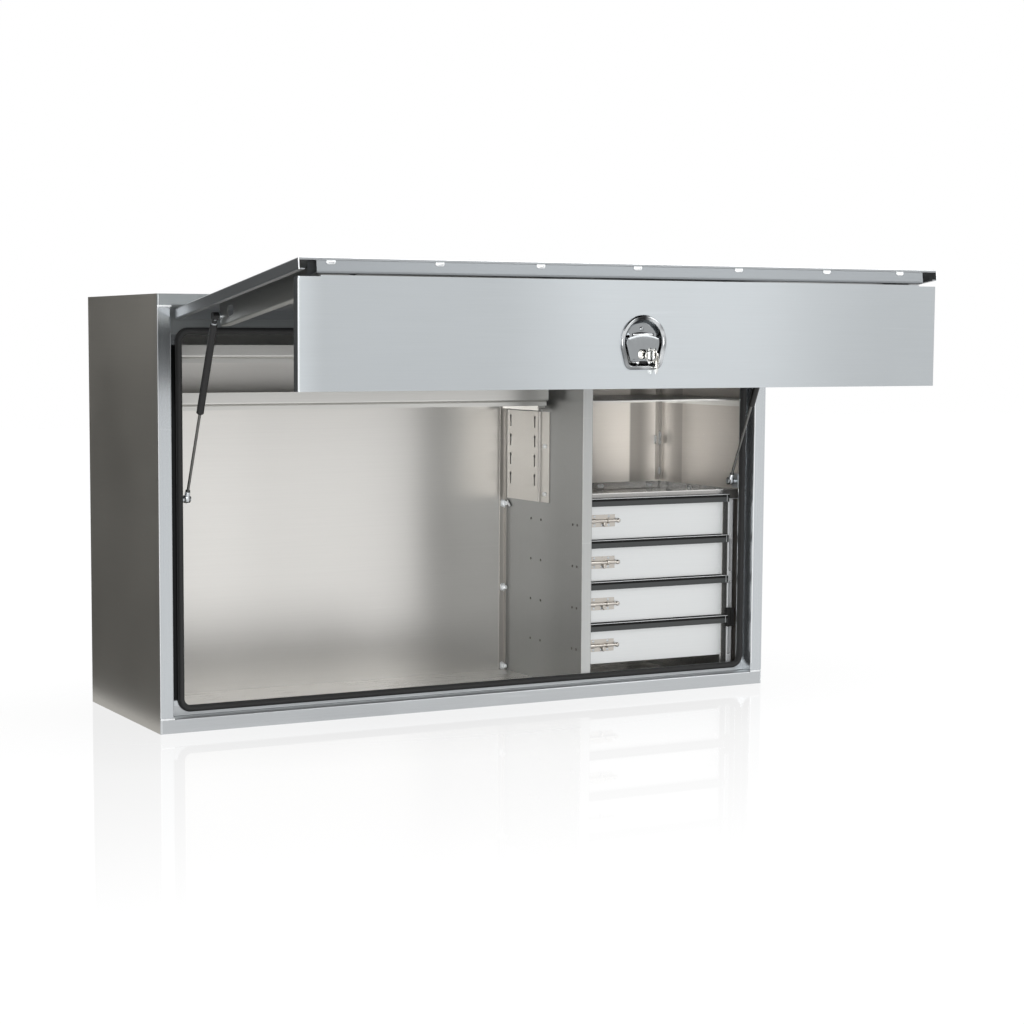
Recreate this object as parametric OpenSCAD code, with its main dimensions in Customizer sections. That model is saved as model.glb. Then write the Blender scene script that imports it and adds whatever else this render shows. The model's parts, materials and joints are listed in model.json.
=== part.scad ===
// Tall aluminium truck toolbox with a top-hinged door whose lower part is a hinged flap.
// Left bay with two shelves, right bay with four drawers on telescopic runners.
// Millimetres. X along the front, Y into the box, Z up. The origin is the centre of the underside.

/* [Body] */
// Width of the box
body_w = 1500; // [1350:10:1800]
// Height of the box
body_h = 900; // [880:5:1000]
// Depth of the box
body_d = 445; // [440:5:600]
// Thickness of all folded sheet
sheet = 2; // [1.5:0.1:2.5]
// Inside radius of the folds
fold_r = 1.5; // [0.5:0.1:2]
// Height of the header above the door
header_h = 25; // [20:1:35]
// Height of the sill below the door
sill_h = 30; // [25:1:36]
// Width of the two stiles
stile_w = 30; // [24:1:34]
// Depth of the recess that the door closes into
recess_d = 34; // [32:1:40]
// Margin from the left side to the clear opening
margin_left = 64; // [60:1:80]
// Margin from the right side to the clear opening
margin_right = 48; // [46:1:60]
// Margin from the underside to the clear opening
margin_bottom = 51; // [48:1:60]
// Margin from the top to the clear opening
margin_top = 82; // [80:1:95]

/* [Seal] */
// Width of the door seal
seal_w = 14; // [10:1:16]
// Height of the door seal
seal_h = 11; // [9:0.5:11]
// Inner radius of the seal at its corners
seal_corner = 14; // [8:1:20]
// Gap where a straight length of seal meets a moulded corner
seal_joint = 0.2; // [0.1:0.1:0.5]

/* [Door] */
// Height of the flap
flap_h = 206; // [190:1:230]
// Gap between door and stiles
door_gap = 5; // [3:0.5:6]
// Gap between door and header
door_top_gap = 4; // [4:0.5:6]
// Gap between the upper panel and the flap, closed
flap_gap = 3.5; // [3:0.5:5]
// Gap between flap and sill, closed
sill_gap = 1.5; // [1:0.5:4]
// Depth of the door flanges
door_flange = 22; // [18:1:22]
// Depth of the channel along the panel's front edge
channel_d = 28; // [26:1:30]
// Breadth of the channel along the panel's front edge
channel_b = 44; // [40:1:50]
// Inset of the channel at both ends
channel_inset = 36; // [30:1:50]
// Depth of the two stiffeners, measured from the outer skin
stiffener_d = 50; // [40:1:51]
// Angle through which the door opens
open_angle = 97.6; // [80:0.2:100]

/* [Door hinge] */
// Radius of the hinge pin
pin_r = 1.5; // [1:0.1:1.7]
// Outer radius of the knuckles
knuckle_r = 3; // [2.5:0.1:3]
// Number of knuckles
knuckles = 24; // [12:2:30]
// Thickness of the hinge leaves
leaf_t = 1.4; // [1:0.1:1.5]

/* [Flap hinge] */
// Distance from the panel's front edge to the flap pin
flap_pin_back = 14; // [14:0.5:16]
// Distance from the outer skin to the flap pin
flap_pin_in = 12.1; // [11.5:0.1:12.5]
// Radius of the flap pins
flap_pin_r = 4; // [3:0.1:4.5]
// Number of hinge arms
arms = 4; // [3:1:6]
// Thickness of a hinge arm
arm_t = 5; // [4:0.5:8]

/* [Struts] */
// Distance from the left side to the plane of the left strut
strut_left = 80; // [78:1:90]
// Distance from the right side to the plane of the right strut
strut_right = 60; // [58:1:64]
// Depth of the lower strut pivot behind the front
strut_low_y = 52.7; // [50:0.1:56]
// Distance of the lower strut pivot below the door hinge
strut_drop = 394.3; // [370:0.1:400]
// Distance from the panel's hinge edge to the upper strut pivot
strut_up_back = 107; // [104:1:140]
// Distance from the outer skin to the upper strut pivot
strut_up_in = 30.5; // [28:0.5:36]
// Radius of the strut cylinder
cylinder_r = 7.5; // [6:0.5:9]
// Radius of the strut rod
rod_r = 3; // [2.5:0.1:4]
// Length of rod outside the cylinder when the door is open
rod_out = 178; // [160:1:190]

/* [Lock] */
// Distance of the lock to the right of the box's middle
lock_off = 4; // [0:1:150]
// Height of the lock's centre above the flap's lower edge
lock_up = 87; // [80:0.5:95]
// Width of the lock dish
dish_w = 104; // [90:1:110]
// Depth of the lock dish
dish_d = 14; // [12:1:16]
// Radius of the key plug
plug_r = 8; // [6:0.5:9]
// Length of the cam
cam_len = 54; // [50:1:58]

/* [Interior] */
// Distance from the right side to the divider
right_bay_w = 450; // [420:5:500]
// Width of the divider's front flange
divider_flange = 24; // [15:1:30]
// Length of the keyhole brackets
bracket_h = 213; // [180:1:260]
// Gap between the lower shelf and the keyhole brackets
bracket_gap = 28; // [10:1:60]
// Spacing of the keyholes in a column
keyhole_pitch = 46; // [40:1:52]
// Distance between the two keyhole columns
keyhole_gap = 116; // [80:1:120]
// Distance from the top down to the lower shelf
shelf_low_drop = 232; // [200:1:250]
// Distance from the top down to the upper shelf
shelf_high_drop = 130; // [100:1:160]
// Depth of the front of the shelves behind the front of the box
shelf_front = 192; // [150:1:240]
// Height of the front lip of a shelf
shelf_lip = 26; // [15:1:30]
// Rise of the right bay's shelf above the lower shelf of the left bay
right_shelf_rise = 4; // [0:1:20]
// Depth of the flanges under the right bay's shelf
right_shelf_flange = 20; // [15:1:30]

/* [Drawers] */
// Number of drawers
drawers = 4; // [4:1:4]
// Height of one drawer front
front_h = 75; // [70:1:78]
// Height of the pull rail on a drawer front
rail_h = 19; // [16:1:20]
// Gap between one drawer and the next
drawer_gap = 2; // [2:0.5:4]
// Height of the lowest drawer front
first_front_z = 65; // [55:1:70]
// Depth of the drawer fronts behind the front of the box
front_y = 66; // [64:1:72]
// Depth of a pull rail
rail_d = 12; // [8:1:13]
// Clear width between a drawer and each cabinet wall
runner_w = 14; // [13.5:0.1:16]
// Distance from the right side to the cabinet side
cabinet_margin = 70; // [66:1:120]
// Travel of a drawer
drawer_travel = 350; // [300:5:360]
// Radius of the barrel bolts
bolt_r = 3.5; // [3:0.1:4]
// Length of a barrel bolt
bolt_len = 78; // [70:1:90]

/* [Clearances] */
// Radial clearance of a running fit
run_fit = 0.05; // [0.02:0.01:0.1]
// Gap between parts that slide or pass each other
pass_gap = 0.5; // [0.4:0.1:0.8]

/* [Hidden] */
$fn = 48;
end_right = body_w - sheet;
inner_back = body_d - sheet;
inner_top = body_h - sheet;
open_left = margin_left;
open_right = body_w - margin_right;
open_bottom = margin_bottom;
open_top = body_h - margin_top;
flange_y = recess_d;
seal_y = recess_d - seal_h;

door_left = stile_w + door_gap;
door_right = body_w - door_left;
panel_top = body_h - header_h - door_top_gap;
flap_bottom = sill_h + sill_gap;
flap_top = flap_bottom + flap_h;
panel_end = flap_top + flap_gap;
panel_len = panel_top - panel_end;
skin_lip = 5;
lip_t = 1.5;
return_w = 11;

hinge_y = -(knuckle_r + 0.2);
hinge_z = body_h - header_h - door_top_gap / 2;
hinge_left = door_left + 25;
hinge_right = door_right - 25;
leaf_start = 0.3;
leaf_d = door_flange;

flap_pin_y = flap_pin_in;
flap_pin_z = panel_end + flap_pin_back;
lip_rise = 2.5;
lip_notch = 44;
arm_in = 20.3;
arm_out = 25;
arm_from = 28;
arm_to = 102;
spoke_w = 5;
boss_r = 6.5;
foot_w = 30;
foot_h = 38;
foot_t = 2.4;
ear_gap = 0.6;
slot_up = 22.5;
slot_down = 5;
arm_edge = 115;
arm_first = door_left + arm_edge;
arm_step = (door_right - door_left - 2 * arm_edge) / (arms - 1);

strut_xs = [strut_left, body_w - strut_right];
strut_sides = [1, -1];
strut_low_z = hinge_z - strut_drop;
strut_up_y = strut_up_in;
strut_up_z = panel_top - strut_up_back;
stiffener_off = 12;
stiffener_w = 20;
stiffener_top = strut_up_z + 4;
stiffener_hole = [34, 20];
stiffener_hole_y = 26;
stiffener_hole_drop = 52;
eye_r = 8;
eye_half = 6;
strut_pin_r = 4;
fitting_r = 5;
stud_r = 6;

// A point of the door, closed, turned about the hinge to where it is with the door open.
function opened(y, z) = [
    hinge_y + (y - hinge_y) * cos(open_angle) + (z - hinge_z) * sin(open_angle),
    hinge_z - (y - hinge_y) * sin(open_angle) + (z - hinge_z) * cos(open_angle)
];
flap_shift = opened(flap_pin_y, flap_pin_z) - [flap_pin_y, flap_pin_z];
strut_up_open = opened(strut_up_y, strut_up_z);
strut_reach = strut_up_open - [strut_low_y, strut_low_z];
strut_len = norm(strut_reach);
strut_lean = atan2(-strut_reach.x, strut_reach.y);
cylinder_start = eye_r + 14 + rod_out;
cylinder_end = strut_len - eye_r - 10;
rod_inside = 25;

divider_x = body_w - right_bay_w;
divider_right = divider_x + sheet;
shelf_low_z = body_h - shelf_low_drop;
shelf_high_z = body_h - shelf_high_drop;
shelf_end_h = 24;
shelf_end_from = 45;
shelf_end_len = 170;
right_shelf_hem = 5;
bracket_z = shelf_low_z - bracket_gap - bracket_h;
cab_x = body_w - cabinet_margin;
cab_flange = 17;
cab_front = front_y + 4;
bay_left = divider_right + runner_w;
bay_right = cab_x - runner_w;
drawer_pitch = front_h + rail_h + drawer_gap;
cab_top_z = first_front_z + drawers * drawer_pitch - drawer_gap - 13;
cab_lip = 24;
front_left = divider_right + 4;
front_right = cab_x - 1;
rail_right = cab_x + 10;
upright_x = cab_x + cab_flange + 2;
upright_w = 13;
tray_wall = 1.5;
tray_back = body_d - 17;
tray_side_h = 60;
runner_len = 358;
runner_t = 1.2;
runner_half = 17;
runner_front = cab_front + 5;
bolt_plate_w = 72;
bolt_plate_h = 28;
bolt_rise = 42.5;
bolt_y = front_y - 6.4;
bolt_tip = divider_right + 6;
bolt_knob_r = bolt_r + 1.2;

lock_x = body_w / 2 + lock_off;
lock_z = flap_bottom + lock_up;
handle_pin_y = 3;
handle_pin_z = 16;
plug_z = -22;

function front_z(i) = first_front_z + (drawers - 1 - i) * drawer_pitch;

// Moves what is drawn from the box's front left bottom corner to the part's own origin.
module in_box() translate([-body_w / 2, -body_d / 2, 0]) children();
// Door pieces are drawn closed and turned to the open door.
module on_door() in_box() translate([0, hinge_y, hinge_z]) rotate([-open_angle, 0, 0])
    translate([0, -hinge_y, -hinge_z]) children();
// Flap pieces are drawn closed; the open flap hangs plumb, so it only shifts.
module on_flap() in_box() translate([0, flap_shift.x, flap_shift.y]) children();
// Strut pieces are drawn upright on the lower pivot and leaned.
module on_strut(i) in_box() translate([strut_xs[i], strut_low_y, strut_low_z])
    rotate([strut_lean, 0, 0]) mirror([strut_sides[i] > 0 ? 0 : 1, 0, 0]) children();

module slab(a, b) translate(a) cube(b - a);
module x_run(x0, x1) translate([x0, 0, 0]) rotate([90, 0, 90]) linear_extrude(x1 - x0) children();
module y_run(y0, y1) translate([0, y1, 0]) rotate([90, 0, 0]) linear_extrude(y1 - y0) children();
module z_run(z0, z1) translate([0, 0, z0]) linear_extrude(z1 - z0) children();
module rod_x(x0, x1, y, z, r) translate([x0, y, z]) rotate([0, 90, 0]) cylinder(h = x1 - x0, r = r);
module rod_y(y0, y1, x, z, r) translate([x, y1, z]) rotate([90, 0, 0]) cylinder(h = y1 - y0, r = r);
module flip_x() translate([body_w, 0, 0]) mirror([1, 0, 0]) children();

function unit(v) = v / norm(v);
function left_of(v) = [-v.y, v.x];
function side_of(a, b) = a.x * b.y - a.y * b.x > 0 ? 1 : -1;
function turn(a, b) = acos(max(-1, min(1, unit(a) * unit(b))));
function bend_cut(p, i, r) = i == 0 || i == len(p) - 1 ? 0
    : r * tan(turn(p[i] - p[i - 1], p[i + 1] - p[i]) / 2);

// Outline of a folded sheet that follows the middle line p, with true bends.
module fold(p, t = sheet, r = fold_r) {
    mid_r = r + t / 2;
    for (i = [0 : len(p) - 2]) {
        d = p[i + 1] - p[i];
        from = bend_cut(p, i, mid_r);
        to = bend_cut(p, i + 1, mid_r);
        translate(p[i]) rotate(atan2(d.y, d.x)) translate([from, -t / 2])
            square([norm(d) - from - to, t]);
    }
    if (len(p) > 2) for (i = [1 : len(p) - 2]) {
        a = p[i] - p[i - 1];
        b = p[i + 1] - p[i];
        start = p[i] - unit(a) * bend_cut(p, i, mid_r);
        finish = p[i] + unit(b) * bend_cut(p, i, mid_r);
        centre = start + left_of(unit(a)) * mid_r * side_of(a, b);
        translate(centre) intersection() {
            difference() {
                circle(r = mid_r + t / 2);
                circle(r = mid_r - t / 2);
            }
            polygon([[0, 0], 2 * (start - centre), 2 * (p[i] - centre), 2 * (finish - centre)]);
        }
    }
}
// A long hole with round ends, its middle at the origin.
module long_hole(length, width) {
    square([width, length - width], center = true);
    for (s = [-1, 1]) translate([0, s * (length - width) / 2]) circle(d = width);
}

// Box shell
module end_sheet() x_run(0, sheet) translate([sheet, 0]) square([body_d - sheet, body_h]);
module end_panel_left() color("#6f6d6b") in_box() end_sheet();
module end_panel_right() color("#a9acae") in_box() flip_x() end_sheet();
module back_panel() color("#cfd0cf") in_box()
    slab([sheet, inner_back, sheet], [end_right, body_d, inner_top]);
module top_panel() color("#b9bcbe") in_box()
    slab([sheet, sheet, inner_top], [end_right, body_d, body_h]);
module floor_panel() color("#c4c5c4") in_box()
    slab([sheet, sheet, 0], [end_right, body_d, sheet]);

// Front frame: each piece has a face, a recess wall and a flange that carries the seal.
module header_rail() color("#8d9499") in_box() {
    wall_z = body_h - header_h + sheet / 2;
    for (x = [0, body_w - stile_w]) slab([x, 0, body_h - header_h], [x + stile_w, sheet, body_h]);
    x_run(stile_w, body_w - stile_w) fold([
        [sheet / 2, body_h], [sheet / 2, wall_z],
        [flange_y + sheet / 2, wall_z], [flange_y + sheet / 2, open_top]
    ]);
}
module sill_rail() color("#aab0b2") in_box() {
    wall_z = sill_h - sheet / 2;
    for (x = [0, body_w - stile_w]) slab([x, 0, 0], [x + stile_w, sheet, sill_h]);
    x_run(stile_w, body_w - stile_w) fold([
        [sheet / 2, 0], [sheet / 2, wall_z],
        [flange_y + sheet / 2, wall_z], [flange_y + sheet / 2, open_bottom]
    ]);
}
module stile(margin) {
    wall_x = stile_w - sheet / 2;
    top = body_h - header_h;
    for (z = [[sill_h, open_bottom], [open_top, top]]) z_run(z[0], z[1])
        fold([[0, sheet / 2], [wall_x, sheet / 2], [wall_x, flange_y + sheet]]);
    z_run(open_bottom, open_top) fold([
        [0, sheet / 2], [wall_x, sheet / 2],
        [wall_x, flange_y + sheet / 2], [margin, flange_y + sheet / 2]
    ]);
}
module stile_left() color("#9ea3a5") in_box() stile(margin_left);
module stile_right() color("#b4b8ba") in_box() flip_x() stile(margin_right);

// Bulb seal: one section, in four straight lengths that meet four moulded corners.
module seal_section() {
    bulb_r = (seal_w - 3) / 2;
    square([seal_w, 4]);
    translate([seal_w / 2, seal_h - bulb_r]) circle(r = bulb_r);
    translate([seal_w / 2 - bulb_r, 2]) square([2 * bulb_r, seal_h - bulb_r - 2]);
}
module seal_corner_at(x, z, spin) translate([x, flange_y, z]) rotate([90, 0, 0]) rotate([0, 0, spin])
    rotate_extrude(angle = 90) translate([seal_corner, 0]) seal_section();
module door_seal() color("#1a1b1c") in_box() {
    left = open_left + seal_corner;
    right = open_right - seal_corner;
    bottom = open_bottom + seal_corner;
    top = open_top - seal_corner;
    seal_corner_at(right, top, 0);
    seal_corner_at(left, top, 90);
    seal_corner_at(left, bottom, 180);
    seal_corner_at(right, bottom, 270);
    x_run(left + seal_joint, right - seal_joint) translate([flange_y, open_top]) rotate(90) seal_section();
    x_run(left + seal_joint, right - seal_joint) translate([flange_y, open_bottom]) mirror([0, 1])
        rotate(90) seal_section();
    z_run(bottom + seal_joint, top - seal_joint) translate([open_right, flange_y]) mirror([0, 1])
        seal_section();
    z_run(bottom + seal_joint, top - seal_joint) translate([open_left, flange_y]) rotate(180)
        seal_section();
}

// Interior
module divider() color("#8f9294") in_box() difference() {
    z_run(sheet, inner_top) fold([
        [divider_right - divider_flange - sheet, flange_y + sheet * 1.5],
        [divider_right - sheet / 2, flange_y + sheet * 1.5],
        [divider_right - sheet / 2, inner_back]
    ]);
    for (i = [0 : drawers - 1])
        rod_x(divider_x - 1, divider_right + 1, bolt_y, front_z(i) + bolt_rise, bolt_r + 1);
}
module angle_strip(x, side, z0, leg_back, leg_side) {
    t = 1.5;
    z_run(z0, inner_top) translate([x, inner_back]) mirror([side > 0 ? 0 : 1, 0])
        union() {
            translate([0, -t]) square([leg_back, t]);
            translate([0, -leg_side]) square([t, leg_side]);
        }
}
module corner_angles() color("#d8d8d6") in_box() {
    angle_strip(sheet, 1, sheet, 14, 10);
    angle_strip(divider_x, -1, sheet, 14, 10);
    angle_strip(end_right, -1, cab_top_z + cab_lip, 14, 10);
}

// Brackets with keyholes, joggled off the wall so that a hook can drop behind the plate.
module keyhole() {
    circle(d = 9);
    translate([-2.5, -22]) square([5, 22]);
    translate([0, -22]) circle(d = 5);
}
module keyhole_bracket(wall_x, side) {
    step = 5;
    front = 226;
    bend_y = front + 42;
    back = bend_y + keyhole_gap + 36;
    first = bend_y + 18;
    off = side * (step + sheet / 2);
    on = side * sheet / 2;
    top_margin = 15;
    rows = 1 + floor((bracket_h - 3 * top_margin) / keyhole_pitch);
    difference() {
        z_run(bracket_z, bracket_z + bracket_h) fold([
            [wall_x + on, front], [wall_x + on, bend_y], [wall_x + off, bend_y],
            [wall_x + off, back], [wall_x + on, back], [wall_x + on, back + 8]
        ], sheet, 1);
        for (c = [0, 1], r = [0 : rows - 1]) translate([
            wall_x + off - 5, first + c * keyhole_gap, bracket_z + bracket_h - top_margin - r * keyhole_pitch
        ]) rotate([90, 0, 90]) linear_extrude(10) keyhole();
    }
}
module keyhole_brackets() color("#b5b2ae") in_box() {
    keyhole_bracket(divider_x, -1);
    keyhole_bracket(sheet, 1);
}

// Shelf: a sheet with a hemmed front lip, a set-back stiffening strip and stand-off studs at its ends.
module shelf(z) {
    left = sheet + 3;
    right = divider_x - divider_flange - 1;
    strip = 12;
    x_run(left, right) fold([
        [inner_back - 3, z + sheet / 2], [shelf_front + sheet / 2, z + sheet / 2],
        [shelf_front + sheet / 2, z + shelf_lip]
    ]);
    x_run(left + 1, right - 1) fold([
        [shelf_front + 8, z - strip], [shelf_front + 8, z - 1], [shelf_front + 30, z - 1]
    ]);
    for (x = [left, right - sheet]) {
        slab([x, shelf_front + shelf_end_from, z - shelf_end_h],
            [x + sheet, shelf_front + shelf_end_from + shelf_end_len, z]);
    }
    for (y = [63, 195]) {
        rod_x(sheet, left, shelf_front + y, z - 16, 4);
        rod_x(right, divider_x, shelf_front + y, z - 16, 4);
    }
}
// Shelf of the right bay: a plate flanged down on three sides, with its rear right corner cut free.
module right_shelf(top) {
    low = top - right_shelf_flange;
    difference() {
        union() {
            x_run(divider_right, end_right) fold([
                [cab_front + sheet / 2, top - right_shelf_hem], [cab_front + sheet / 2, top - sheet / 2],
                [inner_back - sheet / 2, top - sheet / 2], [inner_back - sheet / 2, low]
            ]);
            for (x = [divider_right, end_right - sheet])
                slab([x, cab_front + 4, low], [x + sheet, inner_back - 4, top - sheet]);
        }
        slab([end_right - 20, inner_back - 12, low - 1], [end_right + 1, inner_back + 1, top + 1]);
    }
}
module shelf_upper() color("#c3c5c6") in_box() shelf(shelf_high_z);
module shelf_lower() color("#c3c5c6") in_box() {
    shelf(shelf_low_z);
    right_shelf(shelf_low_z + right_shelf_rise);
}

// Drawer cabinet
module cabinet_top() color("#b9b8b5") in_box() {
    lip_y = cab_front + sheet / 2;
    x_run(divider_right, end_right) fold([
        [lip_y, cab_top_z + cab_lip], [lip_y, cab_top_z + sheet / 2],
        [inner_back - sheet / 2, cab_top_z + sheet / 2], [inner_back - sheet / 2, cab_top_z + 20]
    ]);
    for (x = [divider_right, end_right - sheet])
        slab([x, cab_front + 4, cab_top_z + sheet], [x + sheet, inner_back - 4, cab_top_z + 20]);
}
module cabinet_side() color("#dcdddc") in_box() z_run(sheet, cab_top_z) fold([
    [cab_x + cab_flange, cab_front + sheet / 2], [cab_x + sheet / 2, cab_front + sheet / 2],
    [cab_x + sheet / 2, inner_back]
]);
module slotted_upright() color("#d2d3d3") in_box() difference() {
    window_h = 76;
    pitch = 100;
    z_run(sheet, cab_top_z) fold([
        [upright_x + sheet / 2, cab_front + 16], [upright_x + sheet / 2, cab_front + sheet / 2],
        [upright_x + upright_w - sheet / 2, cab_front + sheet / 2],
        [upright_x + upright_w - sheet / 2, cab_front + 16]
    ]);
    for (z = [open_bottom + 12 : pitch : cab_top_z - window_h])
        slab([upright_x + 3.5, cab_front - 1, z], [upright_x + upright_w - 2.5, cab_front + 3, z + window_h]);
}
module rubber_clip() color("#161616") in_box() {
    h = 44;
    z = front_z(drawers - 1) + front_h - 9;
    x = rail_right + 3;
    y = cab_front;
    slab([x, y - 5, z + 4], [x + 20, y, z + h - 4]);
    slab([x, y - 12, z], [x + 7, y - 5, z + h]);
    slab([x + 12, y - 12, z + 3], [x + 20, y - 5, z + h - 3]);
    slab([x + 7, y - 9, z + 6], [x + 12, y - 5, z + h - 6]);
}

// Telescopic runners: three C sections that nest in one another.
module c_section(open_x, back_x, half) {
    low = min(open_x, back_x);
    high = max(open_x, back_x);
    web = back_x > open_x ? high - runner_t : low;
    translate([web, -half]) square([runner_t, 2 * half]);
    for (z = [-half, half - runner_t]) translate([low, z]) square([high - low, runner_t]);
}
module runner_pair(i, y0, y1, wall_off, tip_off, half, on_wall) {
    z = front_z(i) + front_h / 2;
    a = on_wall ? tip_off : wall_off;
    b = on_wall ? wall_off : tip_off;
    y_run(y0, y1) translate([divider_right, z]) c_section(a, b, half);
    y_run(y0, y1) translate([cab_x, z]) mirror([1, 0]) c_section(a, b, half);
}
module runner_outers() color("#b0b3b5") in_box() for (i = [0 : drawers - 1])
    runner_pair(i, runner_front, runner_front + runner_len, 0, 9, runner_half, true);
module runner_middle(i) color("#c5c8ca") in_box()
    runner_pair(i, runner_front + 1, runner_front + runner_len - 1,
        runner_t + pass_gap, runner_w - runner_t - 2, runner_half - runner_t - pass_gap, true);

// Drawers
module drawer_tray(i) color("#dfe0df") in_box() {
    z = front_z(i);
    base_z = z + 5;
    y0 = front_y + sheet;
    slab([front_left, front_y, z], [front_right, y0, z + front_h]);
    difference() {
        slab([bay_left, y0, base_z], [bay_right, tray_back, base_z + tray_side_h]);
        slab([bay_left + tray_wall, y0 - 1, base_z + tray_wall],
            [bay_right - tray_wall, tray_back - tray_wall, base_z + tray_side_h + 1]);
    }
    half = runner_half - 2 * (runner_t + pass_gap);
    runner_pair(i, runner_front + 2, runner_front + runner_len - 4,
        2 * (runner_t + pass_gap), runner_w, half, false);
}
module drawer_rail(i) color("#55595b") in_box() {
    z = front_z(i) + front_h;
    x_run(front_left, rail_right) fold([
        [front_y + sheet / 2, z], [front_y + sheet / 2, z + rail_h - sheet / 2],
        [front_y - rail_d + sheet / 2, z + rail_h - sheet / 2], [front_y - rail_d + sheet / 2, z + 1]
    ], sheet, 1);
}
module bolt_plate(i) color("#a9a49d") in_box() {
    z = front_z(i) + bolt_rise;
    t = 1.5;
    x0 = front_left + 2;
    slab([x0, front_y - t, z - bolt_plate_h / 2], [x0 + bolt_plate_w, front_y, z + bolt_plate_h / 2]);
    for (g = [[2, 16], [48, 53]]) difference() {
        x_run(x0 + g[0], x0 + g[1]) translate([bolt_y, z]) {
            circle(r = bolt_r + 1.8);
            translate([0, -bolt_r - 1.8]) square([front_y - t - bolt_y, 2 * bolt_r + 3.6]);
        }
        rod_x(x0, x0 + bolt_plate_w, bolt_y, z, bolt_r + run_fit);
    }
}
module drawer_bolt(i) color("#c9c4bc") in_box() {
    z = front_z(i) + bolt_rise;
    knob_x = front_left + 43;
    rod_x(bolt_tip, bolt_tip + bolt_len, bolt_y, z, bolt_r);
    translate([bolt_tip + bolt_len, bolt_y, z]) sphere(r = bolt_knob_r);
    translate([knob_x, bolt_y, z - 11]) cylinder(h = 10, r = 2.4);
    translate([knob_x, bolt_y, z - 11]) sphere(r = 3);
}

// Door hinge
module leaf_knuckles(first) {
    pitch = (hinge_right - hinge_left) / knuckles;
    for (k = [first : 2 : knuckles - 1]) {
        x = hinge_left + k * pitch;
        rod_x(x + pass_gap / 2, x + pitch - pass_gap / 2, hinge_y, hinge_z, knuckle_r);
    }
}
module leaf_tabs(first, z0, z1) {
    pitch = (hinge_right - hinge_left) / knuckles;
    for (k = [first : 2 : knuckles - 1]) {
        x = hinge_left + k * pitch;
        slab([x + pass_gap / 2, hinge_y, z0], [x + pitch - pass_gap / 2, leaf_start + 0.1, z1]);
    }
}
module hinge_leaf(first, z0, z1) {
    difference() {
        union() {
            leaf_knuckles(first);
            leaf_tabs(first, z0, z1);
        }
        rod_x(hinge_left - 1, hinge_right + 1, hinge_y, hinge_z, pin_r + run_fit);
    }
    slab([hinge_left, leaf_start, z0], [hinge_right, leaf_d, z1]);
}
module hinge_leaf_fixed() color("#9fa4a6") in_box()
    hinge_leaf(0, body_h - header_h - leaf_t, body_h - header_h);
module hinge_leaf_door() color("#9fa4a6") on_door() hinge_leaf(1, panel_top, panel_top + leaf_t);
module hinge_pin() color("#c0c4c6") in_box() {
    rod_x(hinge_left - 1, hinge_right + 1, hinge_y, hinge_z, pin_r);
    rod_x(hinge_left - 2.5, hinge_left - 0.5, hinge_y, hinge_z, pin_r + 1);
    rod_x(hinge_right + 0.5, hinge_right + 2.5, hinge_y, hinge_z, pin_r + 1);
}

// Section of a skin with its two side flanges and their returns, as seen from above.
module skin_section() {
    half = sheet / 2;
    deep = door_flange - half;
    left = door_left + half;
    right = door_right - half;
    fold([
        [left + return_w, deep], [left, deep], [left, half],
        [right, half], [right, deep], [right - return_w, deep]
    ]);
}
// The same section where the corners are left free of returns.
module plain_skin_section() intersection() {
    skin_section();
    translate([door_left, 0]) square([door_right - door_left, door_flange - sheet - fold_r]);
}

// Door upper panel
module door_skin() color("#bfc3c5") on_door() {
    z_run(panel_end, panel_top) skin_section();
    slab([door_left + sheet, sheet, panel_end], [door_right - sheet, skin_lip, panel_end + lip_t]);
    slab([door_left + return_w + 2, sheet, panel_top - sheet],
        [door_right - return_w - 2, door_flange, panel_top]);
}
arm_xs = [for (k = [0 : arms - 1]) arm_first + k * arm_step];
module door_end_channel() color("#c9ccce") on_door() difference() {
    face_z = panel_end + lip_t + sheet / 2;
    far_z = panel_end + channel_b - sheet / 2;
    web_y = channel_d - sheet / 2;
    union() {
        x_run(door_left + channel_inset, door_right - channel_inset) fold([
            [sheet, face_z], [web_y, face_z], [web_y, far_z], [sheet, far_z]
        ], sheet, 2);
        for (x = arm_xs, s = [-1, 1]) {
            near = s * (arm_t / 2 + ear_gap);
            far = s * (arm_t / 2 + ear_gap + sheet);
            x_run(x + min(near, far), x + max(near, far)) translate([sheet, flap_pin_z - 8])
                square([web_y - sheet, 16]);
        }
    }
    for (x = arm_xs) {
        slab([x - arm_t / 2 - ear_gap, web_y - sheet, flap_pin_z - slot_down],
            [x + arm_t / 2 + ear_gap, channel_d + 1, flap_pin_z + slot_up]);
        rod_x(x - 12, x + 12, flap_pin_y, flap_pin_z, flap_pin_r + run_fit);
    }
}
module stiffener(x, side) {
    z0 = panel_end + channel_b;
    difference() {
        z_run(z0, stiffener_top) translate([x, 0]) mirror([side > 0 ? 0 : 1, 0]) fold([
            [16, sheet * 1.5], [sheet / 2, sheet * 1.5],
            [sheet / 2, stiffener_d - sheet / 2], [stiffener_w, stiffener_d - sheet / 2]
        ]);
        translate([x - 5, stiffener_hole_y, strut_up_z - stiffener_hole_drop]) rotate([90, 0, 90])
            linear_extrude(10) long_hole(stiffener_hole[0], stiffener_hole[1]);
    }
}
module door_stiffeners() color("#a4a8aa") on_door() {
    for (i = [0, 1]) stiffener(strut_xs[i] + strut_sides[i] * stiffener_off, strut_sides[i]);
    for (z = [panel_top - panel_len / 3, panel_top - panel_len * 2 / 3])
        x_run(strut_xs[0] + stiffener_off + 18, strut_xs[1] - stiffener_off - 18) fold([
            [sheet * 1.5, z - 34], [sheet * 1.5, z - 20], [17, z - 20],
            [17, z + 20], [sheet * 1.5, z + 20], [sheet * 1.5, z + 34]
        ]);
}
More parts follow.
